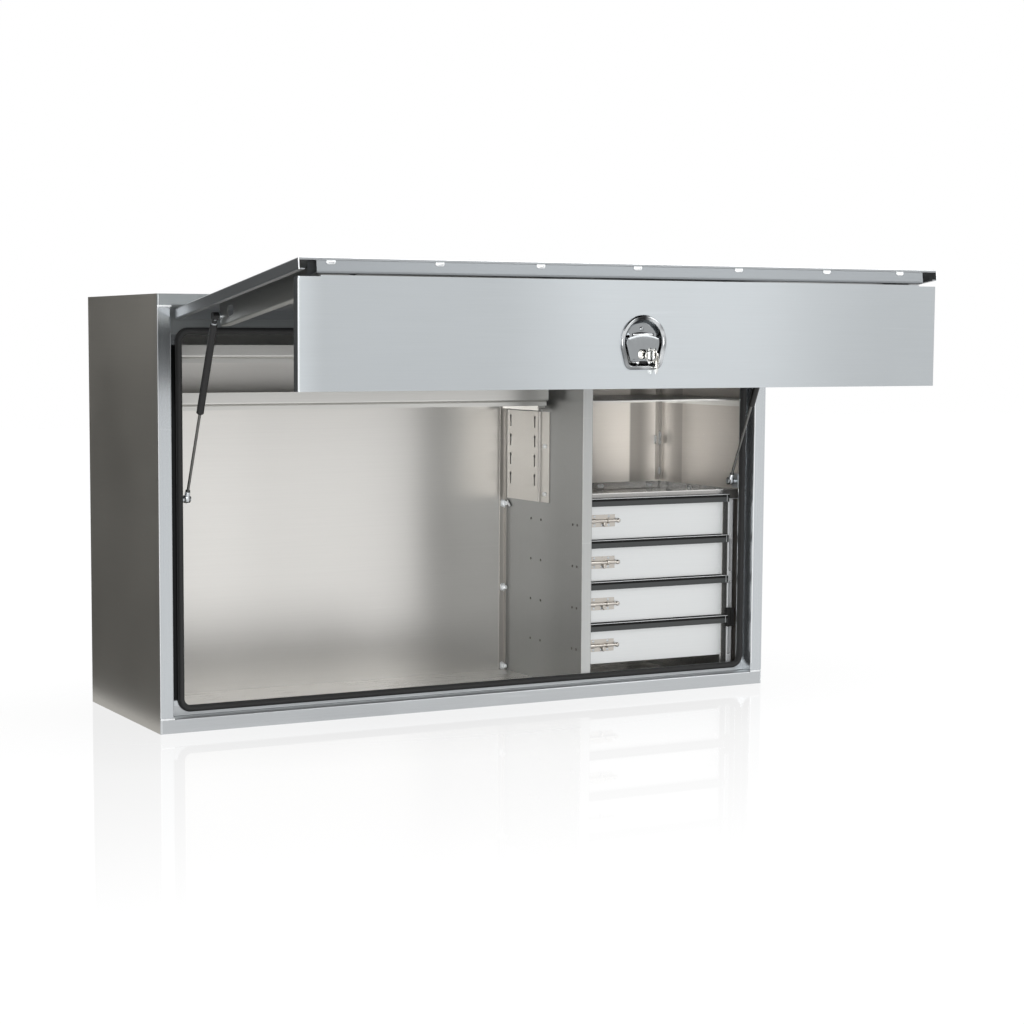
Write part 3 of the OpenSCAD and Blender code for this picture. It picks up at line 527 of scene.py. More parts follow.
def weld_bead_tree():
    """Overlapping scales of weld metal along a line."""
    tree, given, result = geometry_group("Weld bead", {
        "Pitch": "Float", "Width": "Float", "Height": "Float", "Seed": "Int", "Material": "Material"})
    curve = add_node(tree, "GeometryNodeMeshToCurve", {0: given["Geometry"]})
    points = add_node(tree, "GeometryNodeCurveToPoints", {
        "Curve": curve.outputs[0], "Length": given["Pitch"]}, mode="LENGTH")
    scale = add_node(tree, "GeometryNodeMeshUVSphere", {"Segments": 10, "Rings": 6, "Radius": 0.5})
    size = add_node(tree, "ShaderNodeCombineXYZ", {0: given["Height"], 1: given["Width"], 2: given["Width"]})
    wobble = add_node(tree, "FunctionNodeRandomValue", {
        2: 0.82, 3: 1.12, "Seed": given["Seed"]}, data_type="FLOAT")
    copies = add_node(tree, "GeometryNodeInstanceOnPoints", {
        "Points": points.outputs["Points"], "Instance": scale.outputs["Mesh"],
        "Rotation": points.outputs["Rotation"],
        "Scale": tinted(tree, size.outputs[0], wobble.outputs[1])})
    return finish_tree(tree, given, result, copies.outputs[0])


def scattered_tree():
    """Copies of one small object on points, all turned one way."""
    tree, given, result = geometry_group("Scattered pieces", {
        "Piece": "Object", "Turn": "Vector", "Material": "Material"})
    points = add_node(tree, "GeometryNodeMeshToPoints", {0: given["Geometry"]})
    piece = add_node(tree, "GeometryNodeObjectInfo", {"Object": given["Piece"]})
    copies = add_node(tree, "GeometryNodeInstanceOnPoints", {
        "Points": points.outputs[0], "Instance": piece.outputs["Geometry"], "Rotation": given["Turn"]})
    return finish_tree(tree, given, result, copies.outputs[0])


def frame_sweep_tree():
    """A section carried round a rounded frame that stands in the XZ plane."""
    tree, given, result = geometry_group("Frame sweep", {
        "Width": "Float", "Height": "Float", "Corner": "Float", "Section": "Object", "Centre": "Vector",
        "Material": "Material"})
    loop = add_node(tree, "GeometryNodeCurvePrimitiveQuadrilateral", {
        "Width": given["Width"], "Height": given["Height"]})
    corner = add_node(tree, "GeometryNodeFilletCurve", {
        "Count": 14, "Curve": loop.outputs[0], "Radius": given["Corner"]}, mode="POLY")
    upright = add_node(tree, "GeometryNodeSetCurveNormal", {"Curve": corner.outputs[0]}, mode="Z_UP")
    section = add_node(tree, "GeometryNodeObjectInfo", {"Object": given["Section"]})
    outline = add_node(tree, "GeometryNodeMeshToCurve", {0: section.outputs["Geometry"]})
    sweep = add_node(tree, "GeometryNodeCurveToMesh", {
        "Curve": upright.outputs[0], "Profile Curve": outline.outputs[0]})
    stand = add_node(tree, "GeometryNodeTransform", {
        "Rotation": (-QUARTER, 0, 0), "Geometry": sweep.outputs[0], "Translation": given["Centre"]})
    return finish_tree(tree, given, result, stand.outputs[0])


SCATTER_TREE = scattered_tree()


def scattered(name, form, places, turn, finish, body, crease=None):
    """Copies of a small form on the given places, as one piece."""
    piece = new_object(name, mesh_of(places))
    run_tree(piece, SCATTER_TREE, Piece=form, Turn=tuple(turn), Material=made(finish))
    return finish_piece(piece, body, crease=crease)


# Settings

def tone_property(label, text, *rgb):
    """A colour setting with its default given as 0 to 255 screen values."""
    return bpy.props.FloatVectorProperty(
        name=label, description=text, subtype="COLOR", size=4, min=0, max=1, default=srgb(*rgb))


def length_property(label, text, default, low):
    """A length setting in metres."""
    return bpy.props.FloatProperty(name=label, description=text, unit="LENGTH", default=default, min=low)


class SheetColours(bpy.types.PropertyGroup):
    """Tones of the sheet metal."""
    # Partly painted shade: the left end is set darker than the right end, which is the same sheet.
    outer_left: tone_property("Left end", "Outer sheet of the left end", 170, 167, 160)
    outer_right: tone_property("Right end", "Sheet of the right end", 206, 200, 193)
    # Partly painted shade: the top and the header are set darker than the stiles, which are the same sheet.
    header: tone_property("Top", "Top sheet", 137, 141, 143)
    stile: tone_property("Stiles", "Stiles of the front frame", 194, 198, 201)
    sill: tone_property("Sill", "Sill of the front frame", 188, 191, 193)
    inner: tone_property("Inner sheet", "Back and floor sheet", 238, 236, 232)
    shelf: tone_property("Shelves", "Shelves", 226, 225, 221)
    # Partly painted shade: the divider is set much darker than the back and the shelves.
    divider: tone_property("Divider", "Divider between the bays", 131, 132, 131)
    bracket: tone_property("Brackets", "Keyhole brackets and corner angles", 178, 175, 170)
    # Partly painted shade, like the top.
    header_face: tone_property("Header", "Header of the front frame", 152, 156, 157)
    cabinet: tone_property("Cabinet", "Top and side of the drawer cabinet", 224, 223, 220)
    flap: tone_property("Flap", "Folding flap", 198, 203, 206)
    door: tone_property("Door", "Upper panel of the door", 204, 208, 211)
    channel: tone_property("Channel", "Channel at the panel's end", 140, 144, 147)
    stiffener: tone_property("Stiffeners", "Stiffeners inside the door", 162, 163, 160)
    drawer: tone_property("Drawers", "Drawer fronts and trays", 224, 226, 226)
    rail: tone_property("Pull rails", "Dark rails over the drawer fronts", 74, 76, 76)
    edge: tone_property("Edge highlights", "Bright strips painted as edge highlights, and the slotted upright's tone", 246, 248, 249)


class PieceSizes(bpy.types.PropertyGroup):
    """Sizes of the small pieces."""
    bead_width: length_property("Bead width", "Width of a weld bead", 0.0055, 0.001)
    bead_pitch: length_property("Bead pitch", "Distance from one weld scale to the next", 0.0016, 0.0005)
    plug_length: length_property("Plug weld length", "Length of an oval plug weld", 0.019, 0.005)
    plug_width: length_property("Plug weld width", "Width of an oval plug weld", 0.010, 0.004)
    screw_width: length_property("Screw head", "Diameter of a small screw head", 0.0062, 0.002)
    edge_width: length_property("Cut edge", "Width of a bright cut edge", 0.002, 0.0005)


class StudioLevels(bpy.types.PropertyGroup):
    """Light and floor."""
    ambient: bpy.props.FloatProperty(
        name="Ambient", description="Strength of the even light from all sides", default=0.62, min=0)
    key_power: bpy.props.FloatProperty(
        name="Key", description="Power of the large lamp to the right of the camera", subtype="POWER",
        default=55, min=0)
    fill_power: bpy.props.FloatProperty(
        name="Fill", description="Power of the low lamp beside the camera", subtype="POWER",
        default=70, min=0)
    floor_gloss: bpy.props.FloatProperty(
        name="Floor gloss", description="Share of the box's reflection in the floor", subtype="FACTOR",
        default=0.17, min=0, max=1)


class ToolboxSettings(bpy.types.PropertyGroup):
    """All settings of the toolbox scene."""
    colours: bpy.props.PointerProperty(type=SheetColours)
    sizes: bpy.props.PointerProperty(type=PieceSizes)
    studio: bpy.props.PointerProperty(type=StudioLevels)


# Operators

class TOOLBOX_OT_finishes(bpy.types.Operator):
    """Give every carried-over piece of the frame its metal, rubber or paint"""
    bl_idname = "toolbox.finishes"
    bl_label = "Finishes"

    def execute(self, context):
        self.outer_sheets(context.scene.toolbox.colours)
        self.inner_sheets(context.scene.toolbox.colours)
        self.small_parts()
        finish_of = {
            "end_left_sheet": ["end_panel_left"],
            "end_right_sheet": ["end_panel_right"],
            "back_sheet": ["back_panel"],
            "floor_sheet": ["floor_panel"],
            "top_sheet": ["top_panel"],
            "header_sheet": ["header_rail"],
            "sill_sheet": ["sill_rail"],
            "stile_left_sheet": ["stile_left"],
            "stile_right_sheet": ["stile_right"],
            "divider_sheet": ["divider"],
            "shelf_sheet": ["shelf_upper", "shelf_lower"],
            "bracket_sheet": ["keyhole_brackets", "corner_angles"],
            "upright_sheet": ["slotted_upright"],
            "cabinet_sheet": ["cabinet_top", "cabinet_side"],
            "door_sheet": ["door_skin"],
            "channel_sheet": ["door_end_channel"],
            "flap_sheet": ["flap_pan"],
            "stiffener_sheet": ["door_stiffeners", "flap_arms"],
            "hinge_stainless": ["hinge_leaf_fixed", "hinge_leaf_door", "hinge_pin"],
            "zinc_plate": ["runner_outers", "strut_brackets", "strut_studs", "lock_cam", "flap_pins"]
            + ["runner_middle_%d" % i for i in DRAWERS],
            "lock_chrome": ["lock_dish", "lock_handle"],
            "key_nickel": ["lock_plug", "lock_key"],
            "ground_rod": ["strut_rod_left", "strut_rod_right"],
            "strut_paint": ["strut_cylinder_left", "strut_cylinder_right"],
            "drawer_sheet": ["drawer_tray_%d" % i for i in DRAWERS],
            "rail_anodised": ["drawer_rail_%d" % i for i in DRAWERS],
            "bolt_nickel": [n % i for i in DRAWERS for n in ("bolt_plate_%d", "bolt_%d")],
            "seal_rubber": ["door_seal"],
            "clip_rubber": ["rubber_clip"],
        }
        for finish, names in finish_of.items():
            for name in names:
                materials = frame["nodes"][name].data.materials
                materials.clear()
                materials.append(made(finish))
        return {"FINISHED"}

    def outer_sheets(self, c):
        """The box's ends, top, front frame, door and flap."""
        low, high = box_at(0, 0, 60).z, box_at(0, 0, 795).z
        recess, back_of = box_at(0, 18, 0).y, box_at(0, 21, 0).y
        # Painted shade and reflection: the left stile's recess flange beside the seal, 60 to 795 mm up, is
        # nearly black.
        strip = (0.02, ((IN, recess, back_of), (UP, low, low + 0.004), (UP, high + 0.004, high)))
        # Painted reflection: the left stile darkens above about 0.7 m, where it would mirror the door's
        # shaded underside.
        painted_upper_shade = (0.72, ((UP, 0.69, 0.75),))
        spot = 0.66
        # Painted reflection: the left end grows about a third lighter from 0.55 m up towards the top.
        sheet_metal("end_left_sheet", c.outer_left, ALONG_Y, 0.85, 0.42, grain=0.12, mottle=0.16,
                    mottle_scale=3.0, scratches=0.12, shades=[(1.35, ((UP, 0.55, 0.93),))])
        sheet_metal(
            "end_right_sheet", c.outer_right, ALONG_Y, 0.55, 0.30,
            # Painted shade: the right end is darker from 0.12 m back to about 0.2 m; the round spots are heat
            # stains at welds.
            shades=[(0.72, ((IN, 0.118, 0.122), (IN, 0.215, 0.150)))],
            round_spots=[
                (tuple(box_at(WIDTH - SHEET, DEPTH - 40, 563)), 0.030, spot),
                (tuple(box_at(WIDTH - SHEET, DEPTH - 22, 469)), 0.022, spot),
            ])
        sheet_metal("top_sheet", c.header, ALONG_X)
        sheet_metal("header_sheet", c.header_face, ALONG_X, 0.85, 0.32)
        sheet_metal("sill_sheet", c.sill, ALONG_X, 0.8, 0.30)
        # The left stile takes both painted marks; the right stile's recess wall gets painted light, a quarter
        # lighter.
        for side, shades in (("left", [strip, painted_upper_shade]), ("right", [(1.25, ((IN, recess, back_of),))])):
            sheet_metal("stile_%s_sheet" % side, c.stile, ALONG_Z, 0.9, 0.24, mottle=0.05, shades=shades)
        normal, face = open_door_normal()
        panel = dict(metallic=0.75, roughness=0.34, grain=0.07, mottle=0.05)
        # Painted shade: the open door's inner side and flanges, over 1.5 mm behind its outer face, are less
        # than half as light.
        sheet_metal("door_sheet", c.door, **panel, scratches=0.05,
                    shades=[(0.44, ((normal, face - 0.0006, face - 0.0018),))])
        sheet_metal("channel_sheet", c.channel, **panel)
        # Painted shade: the flap's inner side, behind its front skin, is much darker; painted reflection
        # darkens it left of the middle and towards the right end.
        behind = (IN, box_at(0, FLAP_LOW.y + 0.6, 0).y, box_at(0, FLAP_LOW.y + 1.8, 0).y)
        sheet_metal("flap_sheet", c.flap, **panel, scratches=0.05, shades=[
            (0.30, (behind,)),
            (0.80, ((RIGHT, -0.725, -0.66), (RIGHT, -0.06, -0.34))),
            (0.80, ((RIGHT, 0.20, 0.60),)),
        ])
        sheet_metal("stiffener_sheet", c.stiffener, ALONG_Z, 0.85, 0.34)

    def inner_sheets(self, c):
        """Back, floor, shelves, brackets, divider, cabinet and drawers."""
        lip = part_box("cabinet_top")[1].z
        # Painted shade and reflection on the back: a dark column near the right end, darker beside the
        # divider, the far left lighter and the lower left darker.
        sheet_metal("back_sheet", c.inner, ALONG_X, 0.8, 0.30, grain=0.05, mottle=0.05, scratches=0.03,
                    shades=[
                        (0.42, ((RIGHT, 0.655, 0.662), (RIGHT, 0.735, 0.685))),
                        (0.84, ((RIGHT, 0.02, 0.14), (RIGHT, 0.31, 0.30), (UP, 0.12, 0.35))),
                        (0.92, ((RIGHT, -0.50, -0.30),)),
                        (0.86, ((UP, 0.26, 0.12), (RIGHT, -0.02, -0.20))),
                    ])
        sheet_metal("floor_sheet", c.inner, ALONG_X, 0.7, 0.28, mottle=0.08)
        # Painted highlight on the divider's front flange, much lighter, and painted shade on the divider's
        # front half.
        sheet_metal("divider_sheet", c.divider, ALONG_Z, 0.7, 0.34, shades=[
            (2.7, ((IN, -0.182, -0.185),)),
            (0.83, ((IN, 0.06, -0.06),)),
        ])
        sheet_metal("shelf_sheet", c.shelf, ALONG_X, 0.7, 0.30)
        sheet_metal("bracket_sheet", c.bracket, ALONG_Z, 0.55, 0.30)
        sheet_metal("upright_sheet", c.edge, ALONG_Z, 0.05, 0.40, grain=0.05)
        # Painted shade: below its top face the cabinet, its front lip and side, is half as light.
        sheet_metal("cabinet_sheet", c.cabinet, ALONG_X, 0.8, 0.20, grain=0.05,
                    shades=[(0.5, ((UP, lip - 0.001, lip - 0.003),))])
        sheet_metal("drawer_sheet", c.drawer, ALONG_X, 0.6, 0.34, grain=0.05, mottle=0.04, scratches=0.04)
        # Painted shade: the top 6 to 7 mm of each pull rail's face is nearly black, as the shade in its
        # hollow top.
        tops = [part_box("drawer_rail_%d" % i)[1].z for i in DRAWERS]
        sheet_metal("rail_anodised", c.rail, ALONG_X, 0.7, 0.36, grain=0.14, mottle=0.06, shades=[
            (0.05, ((UP, z - 0.0066, z - 0.0062), (UP, z + 0.002, z + 0.001))) for z in tops])
        # Painted highlight: the bright strips along edges where folds and corners would catch the light.
        sheet_metal("cut_edge", c.edge, ALONG_Z, 0.5, 0.30, grain=0.12, mottle=0.10)

    def small_parts(self):
        """Plated, polished, painted and rubber parts, and weld metal."""
        plated("zinc_plate", srgb(196, 200, 203), 0.30)
        plated("hinge_stainless", srgb(172, 176, 179), 0.34)
        plated("handle_chrome", srgb(150, 153, 155), 0.16, 0.10, 90.0)
        plated("lock_chrome", srgb(196, 199, 201), 0.12, 0.06)
        plated("key_nickel", srgb(210, 208, 202), 0.20, 0.10)
        plated("ground_rod", srgb(104, 104, 102), 0.22, 0.06)
        plated("bolt_nickel", srgb(190, 185, 178), 0.30, 0.16)
        plated("screw_dark", srgb(92, 90, 86), 0.40, 0.20)
        rubber("seal_rubber", srgb(16, 17, 17), 0.42, 0.3)
        rubber("clip_rubber", srgb(20, 20, 21))
        rubber("plug_rubber", srgb(16, 16, 17), 0.60)
        pitted("weld_metal", 0.6, 0.30, srgb(240, 242, 243), 700.0, 3, 0.0003, 0.6)
        pitted("strut_paint", 0.0, 0.46, srgb(12, 12, 13), 900.0, 2, 0.00005, 0.4)


class TOOLBOX_OT_door_seal(bpy.types.Operator):
    """Sweep the hollow bulb seal round the clear opening"""
    bl_idname = "toolbox.door_seal"
    bl_label = "Door seal"

    def execute(self, context):
        low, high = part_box("door_seal")
        deep = high.y - low.y
        wide = deep * SEAL_WIDE / SEAL_DEEP
        foot, root = wide * 0.24, wide * 0.30
        bulb = wide * 0.40
        lip = 0.0014
        groove = 0.0004
        corner = 0.014
        section = [(0, 0), (0, foot), (lip, root)]
        for k in range(15):
            t = math.pi * (1.14 - 1.28 * k / 14)
            radius = bulb - (groove if k in (4, 10) else 0)
            section.append((wide / 2 + radius * math.cos(t), deep - bulb + radius * math.sin(t)))
        section += [(wide - lip, root), (wide, foot), (wide, 0)]
        count = len(section)
        outline = new_object("seal_section", mesh_of(
            [(x, y, 0) for x, y in section], [(k, (k + 1) % count) for k in range(count)]))
        centre = (low + high) / 2
        piece = run_tree(
            new_object("door_seal_bulb", mesh_of([(0, 0, 0)])), frame_sweep_tree(),
            Width=high.x - low.x - 2 * wide, Height=high.z - low.z - 2 * wide, Corner=corner, Section=outline,
            Centre=(centre.x, high.y, centre.z), Material=made("seal_rubber"))
        bpy.data.objects.remove(outline)
        bm = bmesh.new()
        bm.from_mesh(piece.data)
        bmesh.ops.recalc_face_normals(bm, faces=bm.faces)
        bm.to_mesh(piece.data)
        bm.free()
        finish_piece(piece, "box", crease=40)
        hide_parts("door_seal")
        return {"FINISHED"}


class TOOLBOX_OT_rubber_clip(bpy.types.Operator):
    """Mould the rubber buffer beside the drawers, with its hollow middle"""
    bl_idname = "toolbox.rubber_clip"
    bl_label = "Rubber clip"

    def execute(self, context):
        low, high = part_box("rubber_clip")
        w, d = high.x - low.x, high.y - low.y
        outline = [(0, d), (0, 0.1 * d), (0.06 * w, 0), (0.30 * w, 0), (0.37 * w, 0.12 * d)]
        for k in range(7):
            t = math.pi * k / 6
            outline.append(((0.5 - 0.12 * math.cos(t)) * w, (0.30 + 0.20 * math.sin(t)) * d))
        outline += [(0.63 * w, 0.12 * d), (0.70 * w, 0.02 * d), (0.95 * w, 0.02 * d), (w, 0.12 * d), (w, d)]
        rings = []
        for share, shrink in ((0, 0.90), (0.03, 0.98), (0.07, 1), (0.93, 1), (0.97, 0.98), (1, 0.90)):
            z = low.z + share * (high.z - low.z)
            rings.append([
                (low.x + w / 2 + (x - w / 2) * shrink, high.y - (d - y) * shrink, z) for x, y in outline])
        piece = add_piece("rubber_buffer", lofted(rings), "box", "clip_rubber", 35)
        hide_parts("rubber_clip")
        return {"FINISHED"}


class TOOLBOX_OT_weld_beads(bpy.types.Operator):
    """Lay weld beads at the frame's mitres, the corners and the cabinet"""
    bl_idname = "toolbox.weld_beads"
    bl_label = "Weld beads"

    def execute(self, context):
        sizes = context.scene.toolbox.sizes
        tree = weld_bead_tree()
        # From an outer face to a bead's middle line.
        inset = 2.5
        lines = []
        for x0, x1 in ((inset, STILE - 0.5), (WIDTH - inset, WIDTH - STILE + 0.5)):
            lines += [((x0, 0, z), (x1, 0, z)) for z in (FRAME_TOP, FRAME_LOW)]
        for x in (inset, WIDTH - inset):
            lines += [((x, 0, FRAME_TOP - 2), (x, 0, HEIGHT - inset)), ((x, 0, inset), (x, 0, FRAME_LOW + 2))]
        self.lay("frame_weld_beads", lines, tree, sizes, 0.8, 0.0016, "frame_aluminium")
        back = DEPTH - SHEET - inset
        left = DIVIDER - SHEET - inset
        right = WIDTH - SHEET - inset
        cabinet = node_box("cabinet_top")[1].z
        spots = [
            ((left, back, 404), (left, back, 416)),
            ((left, back - 26, 409), (left, back - 18, 417)),
            ((left, back, 198), (left, back, 212)),
            ((left, back, 4), (left, back, 16)),
            ((right, back, 548), (right, back, 576)),
            ((right - 12, back, 552), (right - 12, back, 566)),
            ((right, back, cabinet + 16), (right, back, cabinet + 28)),
        ]
        self.lay("corner_weld_spots", spots, tree, sizes, 1.5, 0.0035, "inner_aluminium")
        return {"FINISHED"}

    def lay(self, name, lines, tree, sizes, widen, height, slot):
        """One object of beads along lines given in the box's millimetres."""
        vertices = [box_at(*p) for line in lines for p in line]
        edges = [(2 * k, 2 * k + 1) for k in range(len(lines))]
        piece = new_object(name, mesh_of(vertices, edges))
        run_tree(piece, tree, Pitch=sizes.bead_pitch, Width=sizes.bead_width * widen, Height=height, Seed=3,
                 Material=made("weld_metal"))
        finish_piece(piece, "box")


def oval_plug_weld(length, width):
    """A raised oval ring of weld metal round a slightly sunk middle, lying in the XY plane, long along Y."""
    straight = (length - width) / 2
    levels = [(1.0, 0.0), (1.0, 0.0006), (0.86, 0.0013), (0.66, 0.0011), (0.50, 0.0004), (0.12, 0.0003)]
    rings = []
    for share, height in levels:
        rings.append([
            Vector((
                width / 2 * share * math.cos(t),
                width / 2 * share * math.sin(t) + math.copysign(straight, math.sin(t)) * (0.4 + 0.6 * share),
                height))
            for t in angles(20)])
    return new_object("plug_weld_form", lofted(rings))


def screw_form(width):
    """A domed screw head with a cross recess, standing on the XY plane."""
    rings = []
    for share, height in ((1.0, 0.0), (1.0, 0.06), (0.90, 0.18), (0.66, 0.27)):
        rings.append([(share, height)] * 32)
    cross = [0.14 + 0.40 * abs(math.cos(2 * t)) ** 8 for t in angles(32)]
    for height in (0.27, 0.02):
        rings.append([(reach, height) for reach in cross])
    return new_object("screw_form", lofted([
        [Vector((math.cos(t) * reach, math.sin(t) * reach, height)) * width / 2
         for t, (reach, height) in zip(angles(32), ring)]
        for ring in rings]))


class TOOLBOX_OT_plug_welds(bpy.types.Operator):
    """Set the oval plug welds on the flanges and the panel's end"""
    bl_idname = "toolbox.plug_welds"
    bl_label = "Plug welds"

    def execute(self, context):
        sizes = context.scene.toolbox.sizes
        form = oval_plug_weld(sizes.plug_length, sizes.plug_width)
        back = DEPTH - SHEET
        inner_right = WIDTH - SHEET
        divider_left = DIVIDER - SHEET
        corner_heights = (412, 206, 12)
        groups = {
            "plug_welds_back": (TO_FRONT, [(divider_left - 7, back - 1.5, z) for z in corner_heights]),
            "plug_welds_divider": (TO_LEFT, [(divider_left - 1.5, back - 9.6, z) for z in corner_heights]),
            "plug_welds_bracket": (TO_LEFT, [(divider_left - SHEET, 247, z) for z in (559, 446)]),
            "plug_welds_cabinet": (ACROSS_FRONT, [(x, back - SHEET, 445) for x in (1122, 1323, 1467)]),
            "plug_welds_cabinet_side": (TO_LEFT, [(inner_right - SHEET, y, 445) for y in (306, 181)]),
        }
        for name, (turn, places) in groups.items():
            scattered(name, form, [box_at(*p) for p in places], turn, "weld_metal", "box")
        face = PANEL_END + 1.5
        places = [door_at(x, 7.5, face) for x in (99, 316, 527, 740, 973, 1186, 1370)]
        turn = Matrix.Rotation(-OPEN_ANGLE, 3, "X") @ Matrix.Rotation(math.pi, 3, "X")
        turn = turn @ Matrix.Rotation(QUARTER, 3, "Z")
        scattered("plug_welds_door", form, places, turn.to_euler(), "weld_metal", "door")
        bpy.data.objects.remove(form)
        return {"FINISHED"}


class TOOLBOX_OT_screws(bpy.types.Operator):
    """Drive the screws of the barrel bolts and of the runners"""
    bl_idname = "toolbox.screws"
    bl_label = "Screws"

    def execute(self, context):
        form = screw_form(context.scene.toolbox.sizes.screw_width)
        for i in DRAWERS:
            low, high = node_box("bolt_plate_%d" % i)
            middle = (low.z + high.z) / 2
            face = high.y - 1.5
            places = [box_at(low.x + x, face, middle + z) for x, z in (
                (17, 10), (55, 10), (17, -10), (38, -10), (55, -10))]
            scattered("bolt_screws_%d" % i, form, places, TO_FRONT, "zinc_plate", "drawer_%d" % i,
                      35)
            self.end_knob(i, middle)
        places = [
            box_at(DIVIDER - SHEET, y, z) for z in (96, 192, 288, 384) for y in (100, 120, 266, 313)]
        scattered("runner_screws", form, places, TO_LEFT, "screw_dark", "box", 35)
        bpy.data.objects.remove(form)
        return {"FINISHED"}

    def end_knob(self, i, middle):
        """The round button at the end of a barrel bolt, at the height of the plate's middle."""
        low, high = node_box("bolt_%d" % i)
        place = box_at(high.x - 5.5, low.y + 4.7, middle)
        profile = [(-5.2, 1.0), (-4.6, 3.6), (-2.6, 5.2), (0.4, 5.4), (2.2, 4.6), (3.0, 3.6)]
        add_piece("bolt_button_%d" % i, turned_mesh(profile, place, IN, 24), "bolt_%d" % i,
                  "bolt_nickel", 50)


def standing(x, y, bottom, top):
    """The two ends of an upright line, in metres."""
    return box_at(x, y, bottom), box_at(x, y, top)


class TOOLBOX_OT_sheet_edges(bpy.types.Operator):
    """Lay thin bright strips along the sheets' edges and corners, as painted edge highlights"""
    bl_idname = "toolbox.sheet_edges"
    bl_label = "Sheet edges"

    def execute(self, context):
        wide = context.scene.toolbox.sizes.edge_width
        proud = 0.2
        thick = 0.0005
        deep = 22
        end = PANEL_END - proud
        upright_low, upright_high = node_box("slotted_upright")
        cabinet_low, cabinet_high = node_box("cabinet_top")
        cabinet_at = (cabinet_low.y - proud, cabinet_low.z + 1)
        # Each strip is a painted highlight along an edge.
        strips = {
            "corner_edge_left": (
                standing(0.6, -proud, FRAME_LOW + 4, FRAME_TOP - 3), 0.6, RIGHT, "box", "frame_aluminium"),
            "recess_edge_right": (
                standing(WIDTH - STILE + 1, -proud, 50, FRAME_TOP - 3), 1, RIGHT, "box", "frame_aluminium"),
            "upright_edge": (
                standing(upright_high.x - 0.8, upright_low.y - proud, upright_low.z + 2, upright_high.z - 2),
                1, RIGHT, "box", "inner_aluminium"),
            "cabinet_edge": (
                (box_at(cabinet_low.x + 2, *cabinet_at), box_at(cabinet_high.x - 2, *cabinet_at)),
                0.8, UP, "box", "inner_aluminium"),
            "flap_edge_left": (
                standing(DOOR_LEFT + 1, FLAP_LOW.y - proud * 0.5, FLAP_LOW.z + 1, FLAP_HIGH.z - 6),
                1.2, RIGHT, "flap", "door_aluminium"),
            "panel_edge_left": (
                (door_at(DOOR_LEFT + 1, 1, end), door_at(DOOR_LEFT + 1, deep, end)),
                1, RIGHT, "door", "door_aluminium"),
            "panel_edge_right": (
                (door_at(DOOR_RIGHT - 1, 1, end), door_at(DOOR_RIGHT - 1, deep, end)),
                1, RIGHT, "door", "door_aluminium"),
            "panel_edge_front": (
                (door_at(DOOR_LEFT + 2, 1, end), door_at(DOOR_RIGHT - 2, 1, end)),
                0.6, door_at(0, 1, 0) - door_at(0, 0, 0), "door", "door_aluminium"),
        }
        for name, ((start, stop), share, across, body, slot) in strips.items():
            add_piece(name, bar_mesh(start, stop, wide * share, thick, across), body, "cut_edge", 0)
        return {"FINISHED"}


class TOOLBOX_OT_rail_highlights(bpy.types.Operator):
    """Lay bright strips along each pull rail's top front edge and end caps, as painted highlights"""
    bl_idname = "toolbox.rail_trims"
    bl_label = "Rail highlights"

    def execute(self, context):
        for i in DRAWERS:
            low, high = node_box("drawer_rail_%d" % i)
            y = low.y - 0.15
            top = high.z - 0.4
            thick = 0.0004
            # Painted highlight: a bright bar along the rail's top front edge and one near each end.
            bars = [
                ((low.x, y, top), (high.x, y, top), 0.9, UP),
                ((high.x - 6, y, low.z + 2), (high.x - 6, y, high.z - 2), 0.8, RIGHT),
                ((low.x + 4, y, low.z + 3), (low.x + 4, y, high.z - 4), 0.8, RIGHT),
            ]
            mesh = joined([
                bar_mesh(box_at(*a), box_at(*b), wide * MM, thick, across) for a, b, wide, across in bars])
            add_piece("rail_trim_%d" % i, mesh, "drawer_%d" % i, "cut_edge", 0)
        return {"FINISHED"}


# The round corners of the lock's outline, as (x, z, radius).
LOCK_CORNERS = ((0, 2, 51.5), (-26, -34, 17), (26, -34, 17))
LOCK_STEPS = 96


def outline_ring(grow, y, ceiling=None):
    """The lock's outline, grown or shrunk, at a depth, and cut down under an arch of (foot z, radius)."""
    ring = []
    for t in angles(LOCK_STEPS):
        c, s = math.cos(t), math.sin(t)
        x, z, r = max(LOCK_CORNERS, key=lambda p: p[0] * c + p[1] * s + p[2])
        x += (r + grow) * c
        z += (r + grow) * s
        if ceiling is not None:
            z = min(z, ceiling[0] + math.sqrt(max(ceiling[1] ** 2 - x * x, 0)))
        ring.append(lock_at(x, y, z))
    return ring


